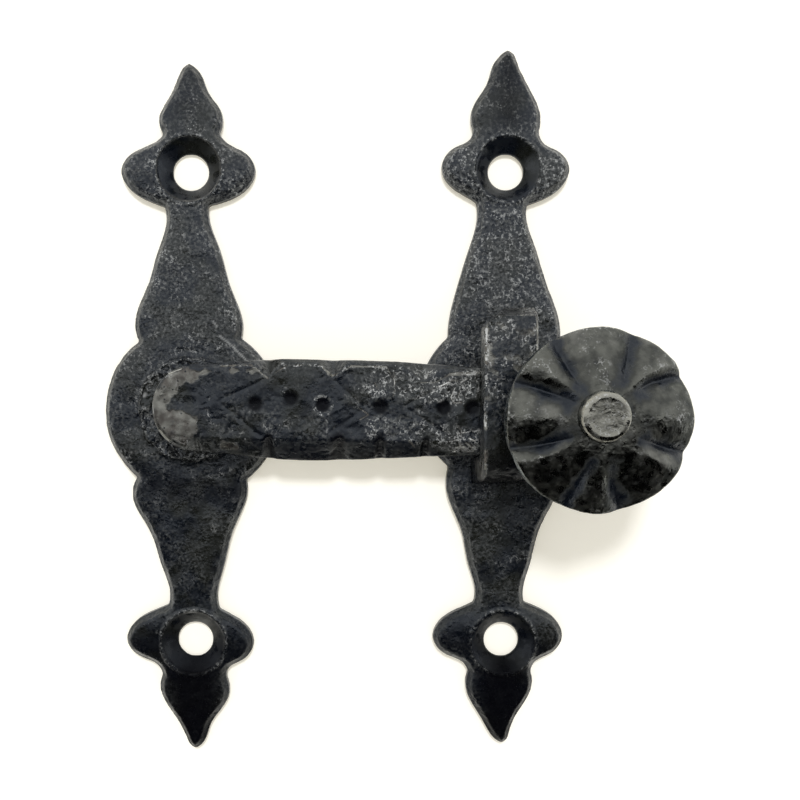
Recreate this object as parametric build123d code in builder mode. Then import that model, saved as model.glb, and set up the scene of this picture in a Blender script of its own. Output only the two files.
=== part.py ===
from build123d import *
import os
from math import cos, hypot, radians, sin, sqrt, tan

# Drop-bar door latch in forged iron, upright, as it is fitted to a door and its frame.
# X runs to the right, Z up, and Y from the front towards the door. The plates' backs lie in
# the plane Y = 0, and the origin is the centre of the four screw holes. All sizes are in mm.

# The two back plates
plate_spacing = 52.5
plate_thickness = 3.0
bevel_width = 1.2
bevel_depth = 0.9
screw_spacing = 79.0
screw_hole_radius = 2.95
pivot_sink_radius = 5.5
keeper_sink_radius = 5.2
sink_angle = 90
pivot_boss_radius = 14.75
pivot_boss_height = -0.3
keeper_boss_radius = 14.4
keeper_boss_height = 1.25

# The plates' finials, lobes and necks, as most of the eight corners have them
finial_rise = 18.5
nose_half_width = 1.1
nose_length = 0.7
leaf_half_width = 5.5
lobe_reach = 11.0
lobe_half_height = 6.0
lobe_curve = [(0.60, 0.68), (0.83, 0.47), (1.0, 0.0), (0.88, -0.50), (0.60, -0.83)]
waist_drop = 8.0
shoulder_drop = 24.6
neck_stations = [0.70, 0.35]
neck_half_width = 9.3

# The low round seat on the pivot plate that the bar turns on
seat_radius = 9.2
seat_top_radius = 8.5
seat_rise = 2.35
seat_gap = 0.15

# The bar: u runs along it from the pivot, v across it
pivot_offset = 1.15
pivot_height = 1.1
bar_thickness = 5.5
bar_droop = 1.0
bar_half_width = 7.3
bar_end_radius = 7.0
bar_end_shift = 1.0
bar_upper_swell = [(0.18, 0.96), (0.33, 0.99), (0.61, 0.95)]
bar_lower_swell = [(0.76, 1.04), (0.56, 1.13), (0.20, 1.20)]
bar_tail_radius = 6.4
bar_axis_drop = 0.8
bar_arris = 0.7
bar_lower_face = 5.6
bar_lower_bevel_width = 2.4
bar_lower_bevel_depth = 1.9

# The rivet that the bar turns on, set blind in the bar's back
rivet_radius = 2.5
rivet_fit = 0.05
rivet_splay = 1.1
rivet_socket = 4.0

# The hook
hook_offset = -1.6
hook_width = 8.3
strap_thickness = 4.1
strap_front = 17.0
leg_gap = 0.3
leg_slope = 7.5
bend_radius = 3.4
hook_tip_height = 16.0
tip_slant = 1.7
tip_cut_width = 3.6
tip_cut_height = 3.4
strap_arris = 0.5
tenon_width = 6.0
tenon_height = 2.6
tenon_fit = 0.05
tenon_splay = 0.5

# The knob
knob_radius = 13.35
knob_rim_front = 25.0
knob_rim_thickness = 3.0
knob_crown_rise = 3.0
knob_crown_radius = 4.1
flower_shift_x = 0.35
flower_shift_z = -0.65
hook_clearance = 0.65
petal_count = 8
petal_scallop = 0.45
furrow_radius = 2.6
furrow_depth = 1.4
furrow_start = 4.8
furrow_bearings = [-23, 37, 68, 123, 153, 200, 250, 281]
stud_radius = 4.0
stud_tenon_radius = 2.3
stud_splay = 0.8
stud_fit = 0.03
button_radius = 3.6
button_rise = 1.7
button_edge_radius = 0.5
button_dish_radius = 2.6
button_dish_depth = 0.2

# Marks on the bar's face: u as a share of the bar's reach, v as a share of its half-width
dot_radius = 1.25
dot_depth = 0.5
chisel_width = 0.7
chisel_depth = 0.4
notch_half_width = 2.5
notch_reach = 2.8
notch_back = 2.8
dots = [
    (0, 0),
    (0.172, 0),
    (0.266, 0.14),
    (0.349, 0),
    (0.499, -0.01),
    (0.663, -0.01),
    (0.739, 0),
]
upper_notches = [(0.203, 1.0), (0.375, 1.0), (0.610, 1.8)]
lower_notches = [(0.015, 0.8), (0.208, 1.0), (0.393, 1.5), (0.501, 0.8), (0.618, 1.0)]
chisel_lines = [
    ((0.076, 0.05), (0.203, 0.56)),
    ((0.076, 0.05), (0.190, -0.71)),
    ((0.375, 0.56), (0.458, -0.04)),
    ((0.458, -0.04), (0.370, -0.60)),
    ((0.560, 0.0), (0.651, 0.41)),
    ((0.560, 0.0), (0.661, -0.53)),
]

os.makedirs("parts", exist_ok=True)

pivot_plate_x = -plate_spacing / 2
keeper_plate_x = plate_spacing / 2
screw_height = screw_spacing / 2


# Plates

def corner(side, end, tip_share, leaf, lobe, neck, boss_radius, boss_height):
    """One quarter of a plate's outline, from the finial's tip down to the round boss.

    Hand forging leaves each corner a little different, so its shape is given as shares of the
    usual sizes: the tip's rise above the screw hole, the leaf's edge, the lobe's root, reach,
    height and foot, and the neck's half-widths from the waist down to the boss.
    """
    root_share, reach_share, height_share, foot_share = lobe
    tip = screw_height + tip_share * finial_rise
    leaf_edge = [
        (across * leaf_half_width, screw_height + rise * finial_rise) for across, rise in leaf
    ]
    lobe_height = screw_height + height_share * lobe_half_height
    root = (root_share * leaf_half_width, lobe_height + lobe_half_height)
    foot = (foot_share * neck_half_width, lobe_height - lobe_half_height)
    lobe_edge = [
        (across * reach_share * lobe_reach, lobe_height + rise * lobe_half_height)
        for across, rise in lobe_curve
    ]
    waist_height = screw_height - waist_drop
    shoulder_height = screw_height - shoulder_drop
    heights = [waist_height]
    heights += [
        shoulder_height + station * (waist_height - shoulder_height) for station in neck_stations
    ]
    heights += [shoulder_height, boss_edge(neck[-1], end, boss_radius, boss_height)]
    neck_edge = [(share * neck_half_width, height) for share, height in zip(neck, heights)]
    nose = (nose_half_width, tip - nose_length)
    for points in (
        [(0, tip), nose, *leaf_edge, root],
        [root, *lobe_edge, foot],
        [foot, *neck_edge],
    ):
        Spline(*[(side * across, end * height) for across, height in points])


def boss_edge(neck_share, end, boss_radius, boss_height):
    """How far from the plate's middle a neck meets the boss's round edge."""
    return end * boss_height + sqrt(boss_radius**2 - (neck_share * neck_half_width) ** 2)


def plate_outline(corners, boss_radius, boss_height):
    """A plate's whole edge: four corners, and the boss's round flank on each side."""
    for shape in corners:
        corner(*shape, boss_radius, boss_height)
    for side in (-1, 1):
        meets = {}
        for shape in corners:
            end, foot_share = shape[1], shape[-1][-1]
            if shape[0] == side:
                height = end * boss_edge(foot_share, end, boss_radius, boss_height)
                meets[end] = (side * foot_share * neck_half_width, height)
        ThreePointArc(meets[1], (side * boss_radius, boss_height), meets[-1])


def front_plane(x, front, z=0.0):
    """A sketching plane that faces the viewer, at a distance in front of the door."""
    return Plane(origin=(x, -front, z), x_dir=(1, 0, 0), z_dir=(0, -1, 0))


def back_plane(x, z=0.0):
    """A sketching plane on the plates' backs, facing the door."""
    return Plane(origin=(x, 0, z), x_dir=(-1, 0, 0), z_dir=(0, 1, 0))


def screw_places(x):
    """The two screw holes of one plate, on its front face."""
    return [Location(front_plane(x, plate_thickness, z)) for z in (-screw_height, screw_height)]


# Forged corner shapes: side, end, tip, leaf edge, lobe, neck
pivot_corners = [
    (
        -1, 1, 0.95,
        [(0.30, 0.86), (0.56, 0.68), (0.93, 0.49)],
        (0.82, 1.05, 0.02, 0.46),
        (0.44, 0.60, 0.80, 1.03, 0.97),
    ),
    (
        -1, -1, 1.02,
        [(0.31, 0.92), (0.56, 0.76), (1.07, 0.50)],
        (1.03, 1.06, -0.02, 0.48),
        (0.46, 0.61, 0.81, 1.12, 1.03),
    ),
    (
        1, 1, 0.95,
        [(0.35, 0.86), (0.55, 0.71), (0.86, 0.58)],
        (0.89, 0.98, 0.07, 0.32),
        (0.33, 0.52, 0.69, 0.91, 0.89),
    ),
    (
        1, -1, 1.02,
        [(0.33, 0.92), (0.45, 0.81), (0.89, 0.62)],
        (0.98, 0.91, 0.10, 0.45),
        (0.42, 0.55, 0.71, 0.97, 0.97),
    ),
]
keeper_corners = [
    (
        -1, 1, 1.06,
        [(0.42, 0.94), (0.55, 0.81), (0.97, 0.60)],
        (1.00, 0.97, 0.15, 0.52),
        (0.51, 0.66, 0.85, 1.00, 1.02),
    ),
    (
        -1, -1, 0.97,
        [(0.39, 0.86), (0.58, 0.76), (1.05, 0.51)],
        (1.04, 1.07, -0.08, 0.52),
        (0.49, 0.62, 0.75, 1.00, 1.00),
    ),
    (
        1, 1, 1.06,
        [(0.35, 0.92), (0.63, 0.76), (1.02, 0.51)],
        (0.98, 0.96, 0.08, 0.39),
        (0.38, 0.56, 0.77, 0.99, 1.02),
    ),
    (
        1, -1, 0.97,
        [(0.28, 0.86), (0.45, 0.73), (0.87, 0.52)],
        (0.92, 0.95, -0.10, 0.41),
        (0.39, 0.51, 0.67, 0.95, 0.99),
    ),
]

# The pivot and the hook, and the knob's stud, that swings clear of the hook's tip
pivot_x = pivot_plate_x + pivot_offset
hook_x = keeper_plate_x + hook_offset
hook_corner = hypot(hook_x + hook_width / 2 - pivot_x, hook_tip_height - pivot_height)
knob_reach = hook_corner + hook_clearance + stud_radius

# How far out each layer over the door stands
seat_front = plate_thickness + seat_rise
bar_back = seat_front + seat_gap
bar_front = bar_back + bar_thickness
rivet_hole_radius = rivet_radius + rivet_fit
rivet_front = bar_back + rivet_socket - rivet_fit
dot_sphere = (dot_radius**2 + dot_depth**2) / (2 * dot_depth)

with BuildPart() as pivot_plate:
    with BuildSketch(front_plane(pivot_plate_x, 0)):
        with BuildLine():
            plate_outline(pivot_corners, pivot_boss_radius, pivot_boss_height)
        make_face()
    extrude(amount=plate_thickness)
    face = pivot_plate.faces().sort_by(Axis.Y)[0]
    chamfer(face.edges(), length=bevel_depth, length2=bevel_width, reference=face)
    with BuildSketch(front_plane(pivot_plate_x, plate_thickness)):
        Circle(seat_radius)
    with BuildSketch(front_plane(pivot_plate_x, seat_front)):
        Circle(seat_top_radius)
    loft()
    with Locations(*screw_places(pivot_plate_x)):
        CounterSinkHole(screw_hole_radius, pivot_sink_radius, plate_thickness, sink_angle)
    with Locations(Location(back_plane(pivot_x, pivot_height))):
        CounterSinkHole(rivet_hole_radius, rivet_hole_radius + rivet_splay, seat_front, sink_angle)

# Rivet, set blind in the bar's back and peened into a countersink behind the plate
with BuildPart() as pivot_rivet:
    with BuildSketch(Plane(origin=(pivot_x, 0, pivot_height), x_dir=(1, 0, 0), z_dir=(0, 0, 1))):
        with BuildLine():
            Polyline(
                (0, 0),
                (rivet_radius + rivet_splay, 0),
                (rivet_radius, -rivet_splay),
                (rivet_radius, -rivet_front),
                (0, -rivet_front),
                close=True,
            )
        make_face()
    revolve(axis=Axis((pivot_x, 0, pivot_height), (0, 1, 0)))

# Bar

along = (cos(radians(bar_droop)), 0, -sin(radians(bar_droop)))
across = (sin(radians(bar_droop)), 0, cos(radians(bar_droop)))


def bar_plane(front, u=0.0, v=0.0):
    """A sketching plane in the bar's own directions, at a distance in front of the door."""
    origin = (
        pivot_x + u * along[0] + v * across[0],
        -front,
        pivot_height + u * along[2] + v * across[2],
    )
    return Plane(origin=origin, x_dir=along, z_dir=(0, -1, 0))


def bar_back_plane(u=0.0, v=0.0):
    """A sketching plane on the bar's back, facing the door."""
    return Plane(origin=bar_plane(bar_back, u, v).origin, x_dir=(-1, 0, 0), z_dir=(0, 1, 0))


def chisel_cut(start, end):
    """A V-shaped chisel line in the bar's face, between two places given as shares."""
    run_u = (end[0] - start[0]) * knob_reach
    run_v = (end[1] - start[1]) * bar_half_width
    heading = [run_u * a + run_v * b for a, b in zip(along, across)]
    place = bar_plane(bar_front, start[0] * knob_reach, start[1] * bar_half_width).origin
    with BuildSketch(Plane(origin=place, x_dir=(0, -1, 0), z_dir=heading)) as profile:
        with BuildLine():
            Polyline(
                (chisel_depth, chisel_width),
                (-chisel_depth, 0),
                (chisel_depth, -chisel_width),
                close=True,
            )
        make_face()
    extrude(profile.sketch, amount=hypot(run_u, run_v), mode=Mode.SUBTRACT)


def edge_notch(u_share, width_share, side):
    """A V-shaped filed notch across the bar's front arris.

    Its bottom line runs from the face, notch_reach inside the bar's edge, back to that edge.
    """
    u = u_share * knob_reach
    edge = side * bar_half_width - bar_axis_drop / 2
    place = bar_plane(bar_front, u, edge - side * notch_reach).origin
    heading = [side * notch_reach * part for part in across]
    heading[1] = notch_back
    outward = [side * notch_back * part for part in across]
    outward[1] = -notch_reach
    spread = 2 * width_share * notch_half_width
    with BuildSketch(Plane(origin=place, x_dir=along, z_dir=heading)) as profile:
        rise = 2 * notch_reach * notch_back / hypot(notch_reach, notch_back)
        lift = rise if profile.workplanes[0].y_dir.dot(Vector(*outward)) > 0 else -rise
        with BuildLine():
            Polyline((0, 0), (spread, lift), (-spread, lift), close=True)
        make_face()
    reach = 2 * hypot(notch_reach, notch_back)
    extrude(profile.sketch, amount=reach, both=True, mode=Mode.SUBTRACT)


with BuildPart() as latch_bar:
    with BuildSketch(bar_plane(bar_back)):
        with BuildLine():
            Spline(
                (bar_end_shift, bar_end_radius - bar_axis_drop),
                *[(u * knob_reach, swell * bar_half_width) for u, swell in bar_upper_swell],
                (knob_reach, bar_tail_radius - bar_axis_drop),
                tangents=[(1, 0), (1, 0)],
            )
            CenterArc((knob_reach, -bar_axis_drop), bar_tail_radius, -90, 180)
            Spline(
                (knob_reach, -bar_tail_radius - bar_axis_drop),
                *[(u * knob_reach, -swell * bar_half_width) for u, swell in bar_lower_swell],
                (bar_end_shift, -bar_end_radius - bar_axis_drop),
                tangents=[(-1, 0), (-1, 0)],
            )
            CenterArc((bar_end_shift, -bar_axis_drop), bar_end_radius, 90, 180)
        make_face()
    extrude(amount=bar_thickness)
    face = latch_bar.faces().sort_by(Axis.Y)[0]
    chamfer(face.edges(), length=bar_arris)
    bevel_start = bar_plane(bar_front, 0, -bar_lower_face).origin
    with BuildSketch(Plane(origin=bevel_start, x_dir=(0, -1, 0), z_dir=along)):
        with BuildLine():
            Polyline(
                (bar_lower_bevel_depth, -bar_lower_bevel_width),
                (-2 * bar_lower_bevel_depth, 2 * bar_lower_bevel_width),
                (bar_lower_bevel_depth, 2 * bar_lower_bevel_width),
                close=True,
            )
        make_face()
    extrude(amount=knob_reach, mode=Mode.SUBTRACT)
    for u_share, width_share in upper_notches:
        edge_notch(u_share, width_share, 1)
    for u_share, width_share in lower_notches:
        edge_notch(u_share, width_share, -1)
    for start, end in chisel_lines:
        chisel_cut(start, end)
    dot_front = bar_front + dot_sphere - dot_depth
    dot_places = [(u * knob_reach, v * bar_half_width) for u, v in dots]
    with Locations(*[bar_plane(dot_front, u, v).location for u, v in dot_places]):
        Sphere(dot_sphere, mode=Mode.SUBTRACT)
    with Locations(bar_back_plane().location):
        Hole(rivet_hole_radius, rivet_socket)
    with Locations(bar_plane(bar_front, knob_reach, -bar_axis_drop).location):
        Hole(stud_tenon_radius + stud_fit, bar_thickness)
    stud_back = bar_back_plane(knob_reach, -bar_axis_drop)
    with Locations(stud_back.location):
        CounterSinkHole(
            stud_tenon_radius + stud_fit,
            stud_tenon_radius + stud_fit + stud_splay,
            bar_thickness,
            sink_angle,
        )

# Knob: the stud's axis, the flower's own middle a little off it, and the flower's levels
knob_x = stud_back.origin.X
knob_z = stud_back.origin.Z
flower_x = knob_x + flower_shift_x
flower_z = knob_z + flower_shift_z
knob_back = knob_rim_front - knob_rim_thickness
knob_crown = knob_rim_front + knob_crown_rise
button_front = knob_crown + button_rise


def on_circle(radius, angle):
    """The point of a circle at an angle in degrees."""
    return (radius * cos(radians(angle)), radius * sin(radians(angle)))


def turned(points):
    """Close a half-section, given as radii and distances in front of the door, and turn it."""
    with BuildSketch(Plane(origin=(knob_x, 0, knob_z), x_dir=(1, 0, 0), z_dir=(0, 0, 1))) as section:
        with BuildLine():
            Polyline(*[(radius, -front) for radius, front in points], close=True)
        make_face()
    revolve(section.sketch, axis=Axis((knob_x, 0, knob_z), (0, 1, 0)))


# Stud, riveted flush behind the bar and peened over the flower into a round button
with BuildPart() as knob_stud:
    turned(
        [
            (0, bar_back),
            (stud_tenon_radius + stud_splay, bar_back),
            (stud_tenon_radius, bar_back + stud_splay),
            (stud_tenon_radius, bar_front),
            (stud_radius, bar_front),
            (stud_radius, knob_back),
            (stud_tenon_radius, knob_back),
            (stud_tenon_radius, knob_crown),
            (button_radius, knob_crown),
            (button_radius, button_front),
            (0, button_front),
        ]
    )
    rim = knob_stud.edges().filter_by(GeomType.CIRCLE).sort_by(Axis.Y)[0]
    fillet(rim, button_edge_radius)
    dish_sphere = (button_dish_radius**2 + button_dish_depth**2) / (2 * button_dish_depth)
    with Locations((knob_x, -(button_front + dish_sphere - button_dish_depth), knob_z)):
        Sphere(dish_sphere, mode=Mode.SUBTRACT)

# Flower: a domed disc with a scalloped rim, and a furrow between each two petals
with BuildPart() as flower_knob:
    with BuildSketch(Plane(origin=(flower_x, 0, flower_z), x_dir=(1, 0, 0), z_dir=(0, 0, 1))):
        with BuildLine():
            crown_edge = (knob_crown_radius, -knob_crown)
            rim_edge = (knob_radius, -knob_rim_front)
            Line((0, -knob_crown), crown_edge)
            Spline(crown_edge, rim_edge, tangents=[(1, 0.1), (1, 0.75)])
            Polyline(rim_edge, (knob_radius, -knob_back), (0, -knob_back), (0, -knob_crown))
        make_face()
    revolve(axis=Axis((flower_x, 0, flower_z), (0, 1, 0)))
    with BuildSketch(front_plane(flower_x, 0, flower_z)):
        with BuildLine():
            half_petal = 180 / petal_count
            valley = knob_radius - petal_scallop
            for petal in range(petal_count):
                middle = 2 * half_petal * petal
                ThreePointArc(
                    on_circle(valley, middle - half_petal),
                    on_circle(knob_radius, middle),
                    on_circle(valley, middle + half_petal),
                )
        make_face()
    extrude(amount=knob_crown, mode=Mode.INTERSECT)
    furrow_fall = knob_rim_front - furrow_depth - knob_crown
    furrow_run = knob_radius - furrow_start
    for bearing in furrow_bearings:
        angle = radians(bearing)
        heading = Vector(furrow_run * cos(angle), -furrow_fall, furrow_run * sin(angle)).normalized()
        outward = Vector(-furrow_fall * cos(angle), -furrow_run, -furrow_fall * sin(angle)).normalized()
        start = Vector(
            knob_x + furrow_start * cos(angle),
            -knob_crown,
            knob_z + furrow_start * sin(angle),
        )
        with BuildSketch(Plane(origin=start + outward * furrow_radius, z_dir=heading)):
            Circle(furrow_radius)
        extrude(amount=2 * furrow_run, mode=Mode.SUBTRACT)
    with Locations(front_plane(knob_x, knob_crown, knob_z).location):
        Hole(stud_tenon_radius + stud_fit)

# The hook's leg: its middle line where it meets the upright strap, a gap under the bar at rest
strap_middle = strap_front - strap_thickness / 2
rest_front = bar_front - bar_lower_bevel_depth
hook_slice = Pos(hook_x, 0, knob_z) * Box(hook_width, 2 * bar_front, 4 * bar_half_width)
crossing = latch_bar.part & hook_slice
leg_rise = (strap_middle - rest_front) * tan(radians(leg_slope))
leg_thickness = strap_thickness / cos(radians(leg_slope))
leg_height = crossing.bounding_box().min.Z - leg_gap - leg_thickness / 2 + leg_rise
leg_fall = (strap_middle - plate_thickness) * tan(radians(leg_slope))
tenon_z = leg_height - leg_fall

# Keeper plate, with the splayed slot for the hook's tenon
with BuildPart() as keeper_plate:
    with BuildSketch(front_plane(keeper_plate_x, 0)):
        with BuildLine():
            plate_outline(keeper_corners, keeper_boss_radius, keeper_boss_height)
        make_face()
    extrude(amount=plate_thickness)
    face = keeper_plate.faces().sort_by(Axis.Y)[0]
    chamfer(face.edges(), length=bevel_depth, length2=bevel_width, reference=face)
    with Locations(*screw_places(keeper_plate_x)):
        CounterSinkHole(screw_hole_radius, keeper_sink_radius, plate_thickness, sink_angle)
    slot_width = tenon_width + 2 * tenon_fit
    slot_height = tenon_height + 2 * tenon_fit
    with BuildSketch(back_plane(hook_x, tenon_z)):
        Rectangle(slot_width, slot_height)
    extrude(amount=-plate_thickness, mode=Mode.SUBTRACT)
    with BuildSketch(back_plane(hook_x, tenon_z)):
        Rectangle(slot_width + 2 * tenon_splay, slot_height + 2 * tenon_splay)
    with BuildSketch(back_plane(hook_x, tenon_z).offset(-tenon_splay)):
        Rectangle(slot_width, slot_height)
    loft(mode=Mode.SUBTRACT)

# Hook: a strap bent forward from the plate and up in front of the bar, its end cut at a slant
strap_back = strap_front - strap_thickness
with BuildPart() as keeper_hook:
    with BuildSketch(Plane(origin=(hook_x, 0, 0), x_dir=(0, -1, 0), z_dir=(-1, 0, 0))) as side:
        with BuildLine():
            FilletPolyline(
                (plate_thickness, tenon_z),
                (strap_middle, leg_height),
                (strap_middle, hook_tip_height),
                radius=bend_radius,
            )
        trace(line_width=strap_thickness)
        with BuildLine():
            Polyline(
                (strap_back, hook_tip_height),
                (strap_front, hook_tip_height - tip_slant),
                (strap_front, hook_tip_height),
                close=True,
            )
        make_face(mode=Mode.SUBTRACT)
    extrude(amount=hook_width / 2, both=True)
    with BuildSketch(front_plane(hook_x, plate_thickness)):
        half = hook_width / 2
        low = leg_height - strap_thickness * 2
        with BuildLine():
            Polyline(
                (-half, low),
                (half, low),
                (half, hook_tip_height),
                (-half + tip_cut_width, hook_tip_height),
                (-half, hook_tip_height - tip_cut_height),
                close=True,
            )
        make_face()
    extrude(amount=2 * strap_front, mode=Mode.INTERSECT)
    front_edges = keeper_hook.edges().filter_by(Axis.Z).group_by(Axis.Y)[0]
    chamfer(front_edges, strap_arris)
    with BuildSketch(back_plane(hook_x, tenon_z).offset(-plate_thickness)):
        Rectangle(tenon_width, tenon_height)
    extrude(amount=plate_thickness)
    with BuildSketch(back_plane(hook_x, tenon_z)):
        Rectangle(tenon_width + 2 * tenon_splay, tenon_height + 2 * tenon_splay)
    with BuildSketch(back_plane(hook_x, tenon_z).offset(-tenon_splay)):
        Rectangle(tenon_width, tenon_height)
    loft()

pieces = {
    "pivot_plate": pivot_plate,
    "pivot_rivet": pivot_rivet,
    "latch_bar": latch_bar,
    "knob_stud": knob_stud,
    "flower_knob": flower_knob,
    "keeper_plate": keeper_plate,
    "keeper_hook": keeper_hook,
}
for name, piece in pieces.items():
    piece.part.label = name
    export_step(piece.part, f"parts/{name}.step")
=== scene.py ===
"""The looks of a forged door latch: its seven iron pieces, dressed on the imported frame."""

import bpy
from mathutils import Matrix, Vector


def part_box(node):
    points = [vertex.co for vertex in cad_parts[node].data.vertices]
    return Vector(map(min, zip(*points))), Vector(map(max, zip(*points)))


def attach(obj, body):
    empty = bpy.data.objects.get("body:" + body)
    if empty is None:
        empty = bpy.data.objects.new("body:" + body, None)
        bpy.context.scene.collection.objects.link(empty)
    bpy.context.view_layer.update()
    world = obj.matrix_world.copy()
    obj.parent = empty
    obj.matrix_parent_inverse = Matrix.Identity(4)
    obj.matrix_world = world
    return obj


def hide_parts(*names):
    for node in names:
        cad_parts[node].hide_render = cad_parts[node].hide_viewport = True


bl_info = {
    "name": "Forged door latch",
    "version": (1, 0, 0),
    "blender": (4, 5, 0),
    "location": "View3D > Sidebar > Door latch",
    "description": "Makes the forged skins and iron finishes of a drop-bar door latch",
    "category": "Object",
}

from math import radians, tau

import bmesh
import bpy
import numpy as np
from bpy.props import FloatProperty, FloatVectorProperty, PointerProperty
from bpy.types import Operator, Panel, PropertyGroup
from mathutils import Vector

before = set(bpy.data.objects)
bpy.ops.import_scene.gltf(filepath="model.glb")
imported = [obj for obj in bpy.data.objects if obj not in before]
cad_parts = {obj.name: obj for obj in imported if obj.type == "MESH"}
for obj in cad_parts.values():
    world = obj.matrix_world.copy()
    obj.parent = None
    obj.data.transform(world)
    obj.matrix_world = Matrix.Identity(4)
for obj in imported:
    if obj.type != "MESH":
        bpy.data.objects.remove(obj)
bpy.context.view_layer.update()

MM = 0.001


def centre_of(node):
    """The middle of a frame node's box seen from the front: sideways and up, in millimetres."""
    low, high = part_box(node)
    middle = (low + high) / 2
    return np.array([middle.x, middle.z]) / MM


def front_of(node):
    """How far a frame node's front stands out from the door, in millimetres."""
    return -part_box(node)[0].y / MM


def back_of(node):
    """How far a frame node's back stands out from the door, in millimetres."""
    return -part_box(node)[1].y / MM


def half_width(node):
    """Half of the width of a frame node's box, in millimetres."""
    low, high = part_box(node)
    return (high.x - low.x) / 2 / MM


# Settings


class LatchForging(PropertyGroup):
    """Sizes of the forged surfaces."""

    skin_step: FloatProperty(
        name="Skin step",
        description="Side of one mesh square on a forged piece",
        default=0.25 * MM,
        min=0.15 * MM,
        precision=5,
        unit="LENGTH",
    )
    blow_spacing: FloatProperty(
        name="Blow spacing",
        description="Distance between the hammer blows on the plates",
        default=6.5 * MM,
        precision=5,
        unit="LENGTH",
    )
    blow_depth: FloatProperty(
        name="Blow depth",
        description="Depth of a hammer blow on the plates",
        default=0.22 * MM,
        precision=5,
        unit="LENGTH",
    )
    scale_depth: FloatProperty(
        name="Scale depth",
        description="Depth of the fine pits that the fire scale leaves",
        default=0.07 * MM,
        precision=5,
        unit="LENGTH",
    )
    edge_fall: FloatProperty(
        name="Edge fall",
        description="How far a plate's front falls away towards its edges",
        default=0.70 * MM,
        precision=5,
        unit="LENGTH",
    )
    petal_fold: FloatProperty(
        name="Petal fold",
        description="Height of a petal's crest over its sides",
        default=1.7 * MM,
        precision=5,
        unit="LENGTH",
    )
    furrow_depth: FloatProperty(
        name="Furrow depth",
        description="Extra depth of the chased line between two petals",
        default=0.25 * MM,
        precision=5,
        unit="LENGTH",
    )


class LatchFinish(PropertyGroup):
    """Colours and gloss of the iron."""

    blue_black: FloatVectorProperty(
        name="Blue black",
        description="Paint in the hollows and the countersinks",
        default=(0.0030, 0.0045, 0.0078),
        min=0.0,
        max=1.0,
        subtype="COLOR",
    )
    coal_black: FloatVectorProperty(
        name="Coal black",
        description="Paint on the raised patches",
        default=(0.0085, 0.0090, 0.0070),
        min=0.0,
        max=1.0,
        subtype="COLOR",
    )
    ash: FloatVectorProperty(
        name="Ash",
        description="Paint scuffed thin over the iron's scale",
        default=(0.064, 0.066, 0.064),
        min=0.0,
        max=1.0,
        subtype="COLOR",
    )
    pewter: FloatVectorProperty(
        name="Pewter",
        description="Bare iron where the paint is rubbed off",
        default=(0.210, 0.210, 0.192),
        min=0.0,
        max=1.0,
        subtype="COLOR",
    )
    bright_iron: FloatVectorProperty(
        name="Bright iron",
        description="Small curls of freshly bared iron",
        default=(0.60, 0.61, 0.60),
        min=0.0,
        max=1.0,
        subtype="COLOR",
    )
    satin_iron: FloatVectorProperty(
        name="Satin iron",
        description="Handled iron of the knob",
        default=(0.140, 0.143, 0.128),
        min=0.0,
        max=1.0,
        subtype="COLOR",
    )
    button_iron: FloatVectorProperty(
        name="Button iron",
        description="The button that is peened over the middle of the knob",
        default=(0.34, 0.335, 0.295),
        min=0.0,
        max=1.0,
        subtype="COLOR",
    )
    worn_brown: FloatVectorProperty(
        name="Worn brown",
        description="Brown clouds in the pewter of the bar and the hook",
        default=(0.095, 0.088, 0.080),
        min=0.0,
        max=1.0,
        subtype="COLOR",
    )
    # Near-black colour of the painted shade
    shade_black: FloatVectorProperty(
        name="Shade black",
        description="Near-black of the painted shade",
        default=(0.002, 0.002, 0.003),
        min=0.0,
        max=1.0,
        subtype="COLOR",
    )
    gloss_tint: FloatVectorProperty(
        name="Gloss tint",
        description="Cool tint of the paint's gloss",
        default=(0.85, 0.92, 1.0),
        min=0.0,
        max=1.0,
        subtype="COLOR",
    )
    gloss: FloatProperty(
        name="Gloss",
        description="How strongly the iron shines outside the painted shade",
        default=0.55,
        min=0.0,
        max=1.0,
        subtype="FACTOR",
    )
    shade_dulls: FloatProperty(
        name="Shade dulls",
        description="How much of the gloss the painted shade takes away",
        default=0.48,
        min=0.0,
        max=1.0,
        subtype="FACTOR",
    )


class LatchStage(PropertyGroup):
    """Camera, light and surroundings."""

    lens: FloatProperty(
        name="Lens",
        description="Focal length in millimetres on a sensor 36 mm wide",
        default=39.09,
    )
    camera_place: FloatVectorProperty(
        name="Camera place",
        description="Where the camera stands",
        default=(0.0003, -0.148, 0.00155),
        precision=5,
        unit="LENGTH",
    )
    camera_pitch: FloatProperty(
        name="Camera pitch",
        description="How far the camera looks down",
        default=radians(3.2),
        unit="ROTATION",
    )
    camera_shift: FloatVectorProperty(
        name="Camera shift",
        description="Shift of the picture sideways and up, as a share of its width",
        default=(0.0625, 0.0607),
        size=2,
        precision=4,
    )
    key_power: FloatProperty(
        name="Key power",
        description="Power of the lamp in front of the latch and above it, in watts",
        default=3.6,
    )
    back_power: FloatProperty(
        name="Back power",
        description="Power of the lamp behind the latch, in watts",
        default=3.0,
    )
    sky_level: FloatProperty(
        name="Sky level",
        description="Strength of the light from all round",
        default=0.55,
    )
    board_colour: FloatVectorProperty(
        name="Board colour",
        description="The white board behind the latch",
        default=(0.85, 0.84, 0.81),
        min=0.0,
        max=1.0,
        subtype="COLOR",
    )
    glow_colour: FloatVectorProperty(
        name="Glow colour",
        description="Warm light that the board adds to the shadows on it",
        default=(1.0, 0.92, 0.70),
        min=0.0,
        max=1.0,
        subtype="COLOR",
    )
    glow_level: FloatProperty(
        name="Glow level",
        description="Strength of the light that the board adds",
        default=0.33,
    )
    floor_colour: FloatVectorProperty(
        name="Floor colour",
        description="The pale floor below the latch",
        default=(0.80, 0.80, 0.78),
        min=0.0,
        max=1.0,
        subtype="COLOR",
    )


# Shapes worked out as whole arrays, in millimetres


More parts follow.
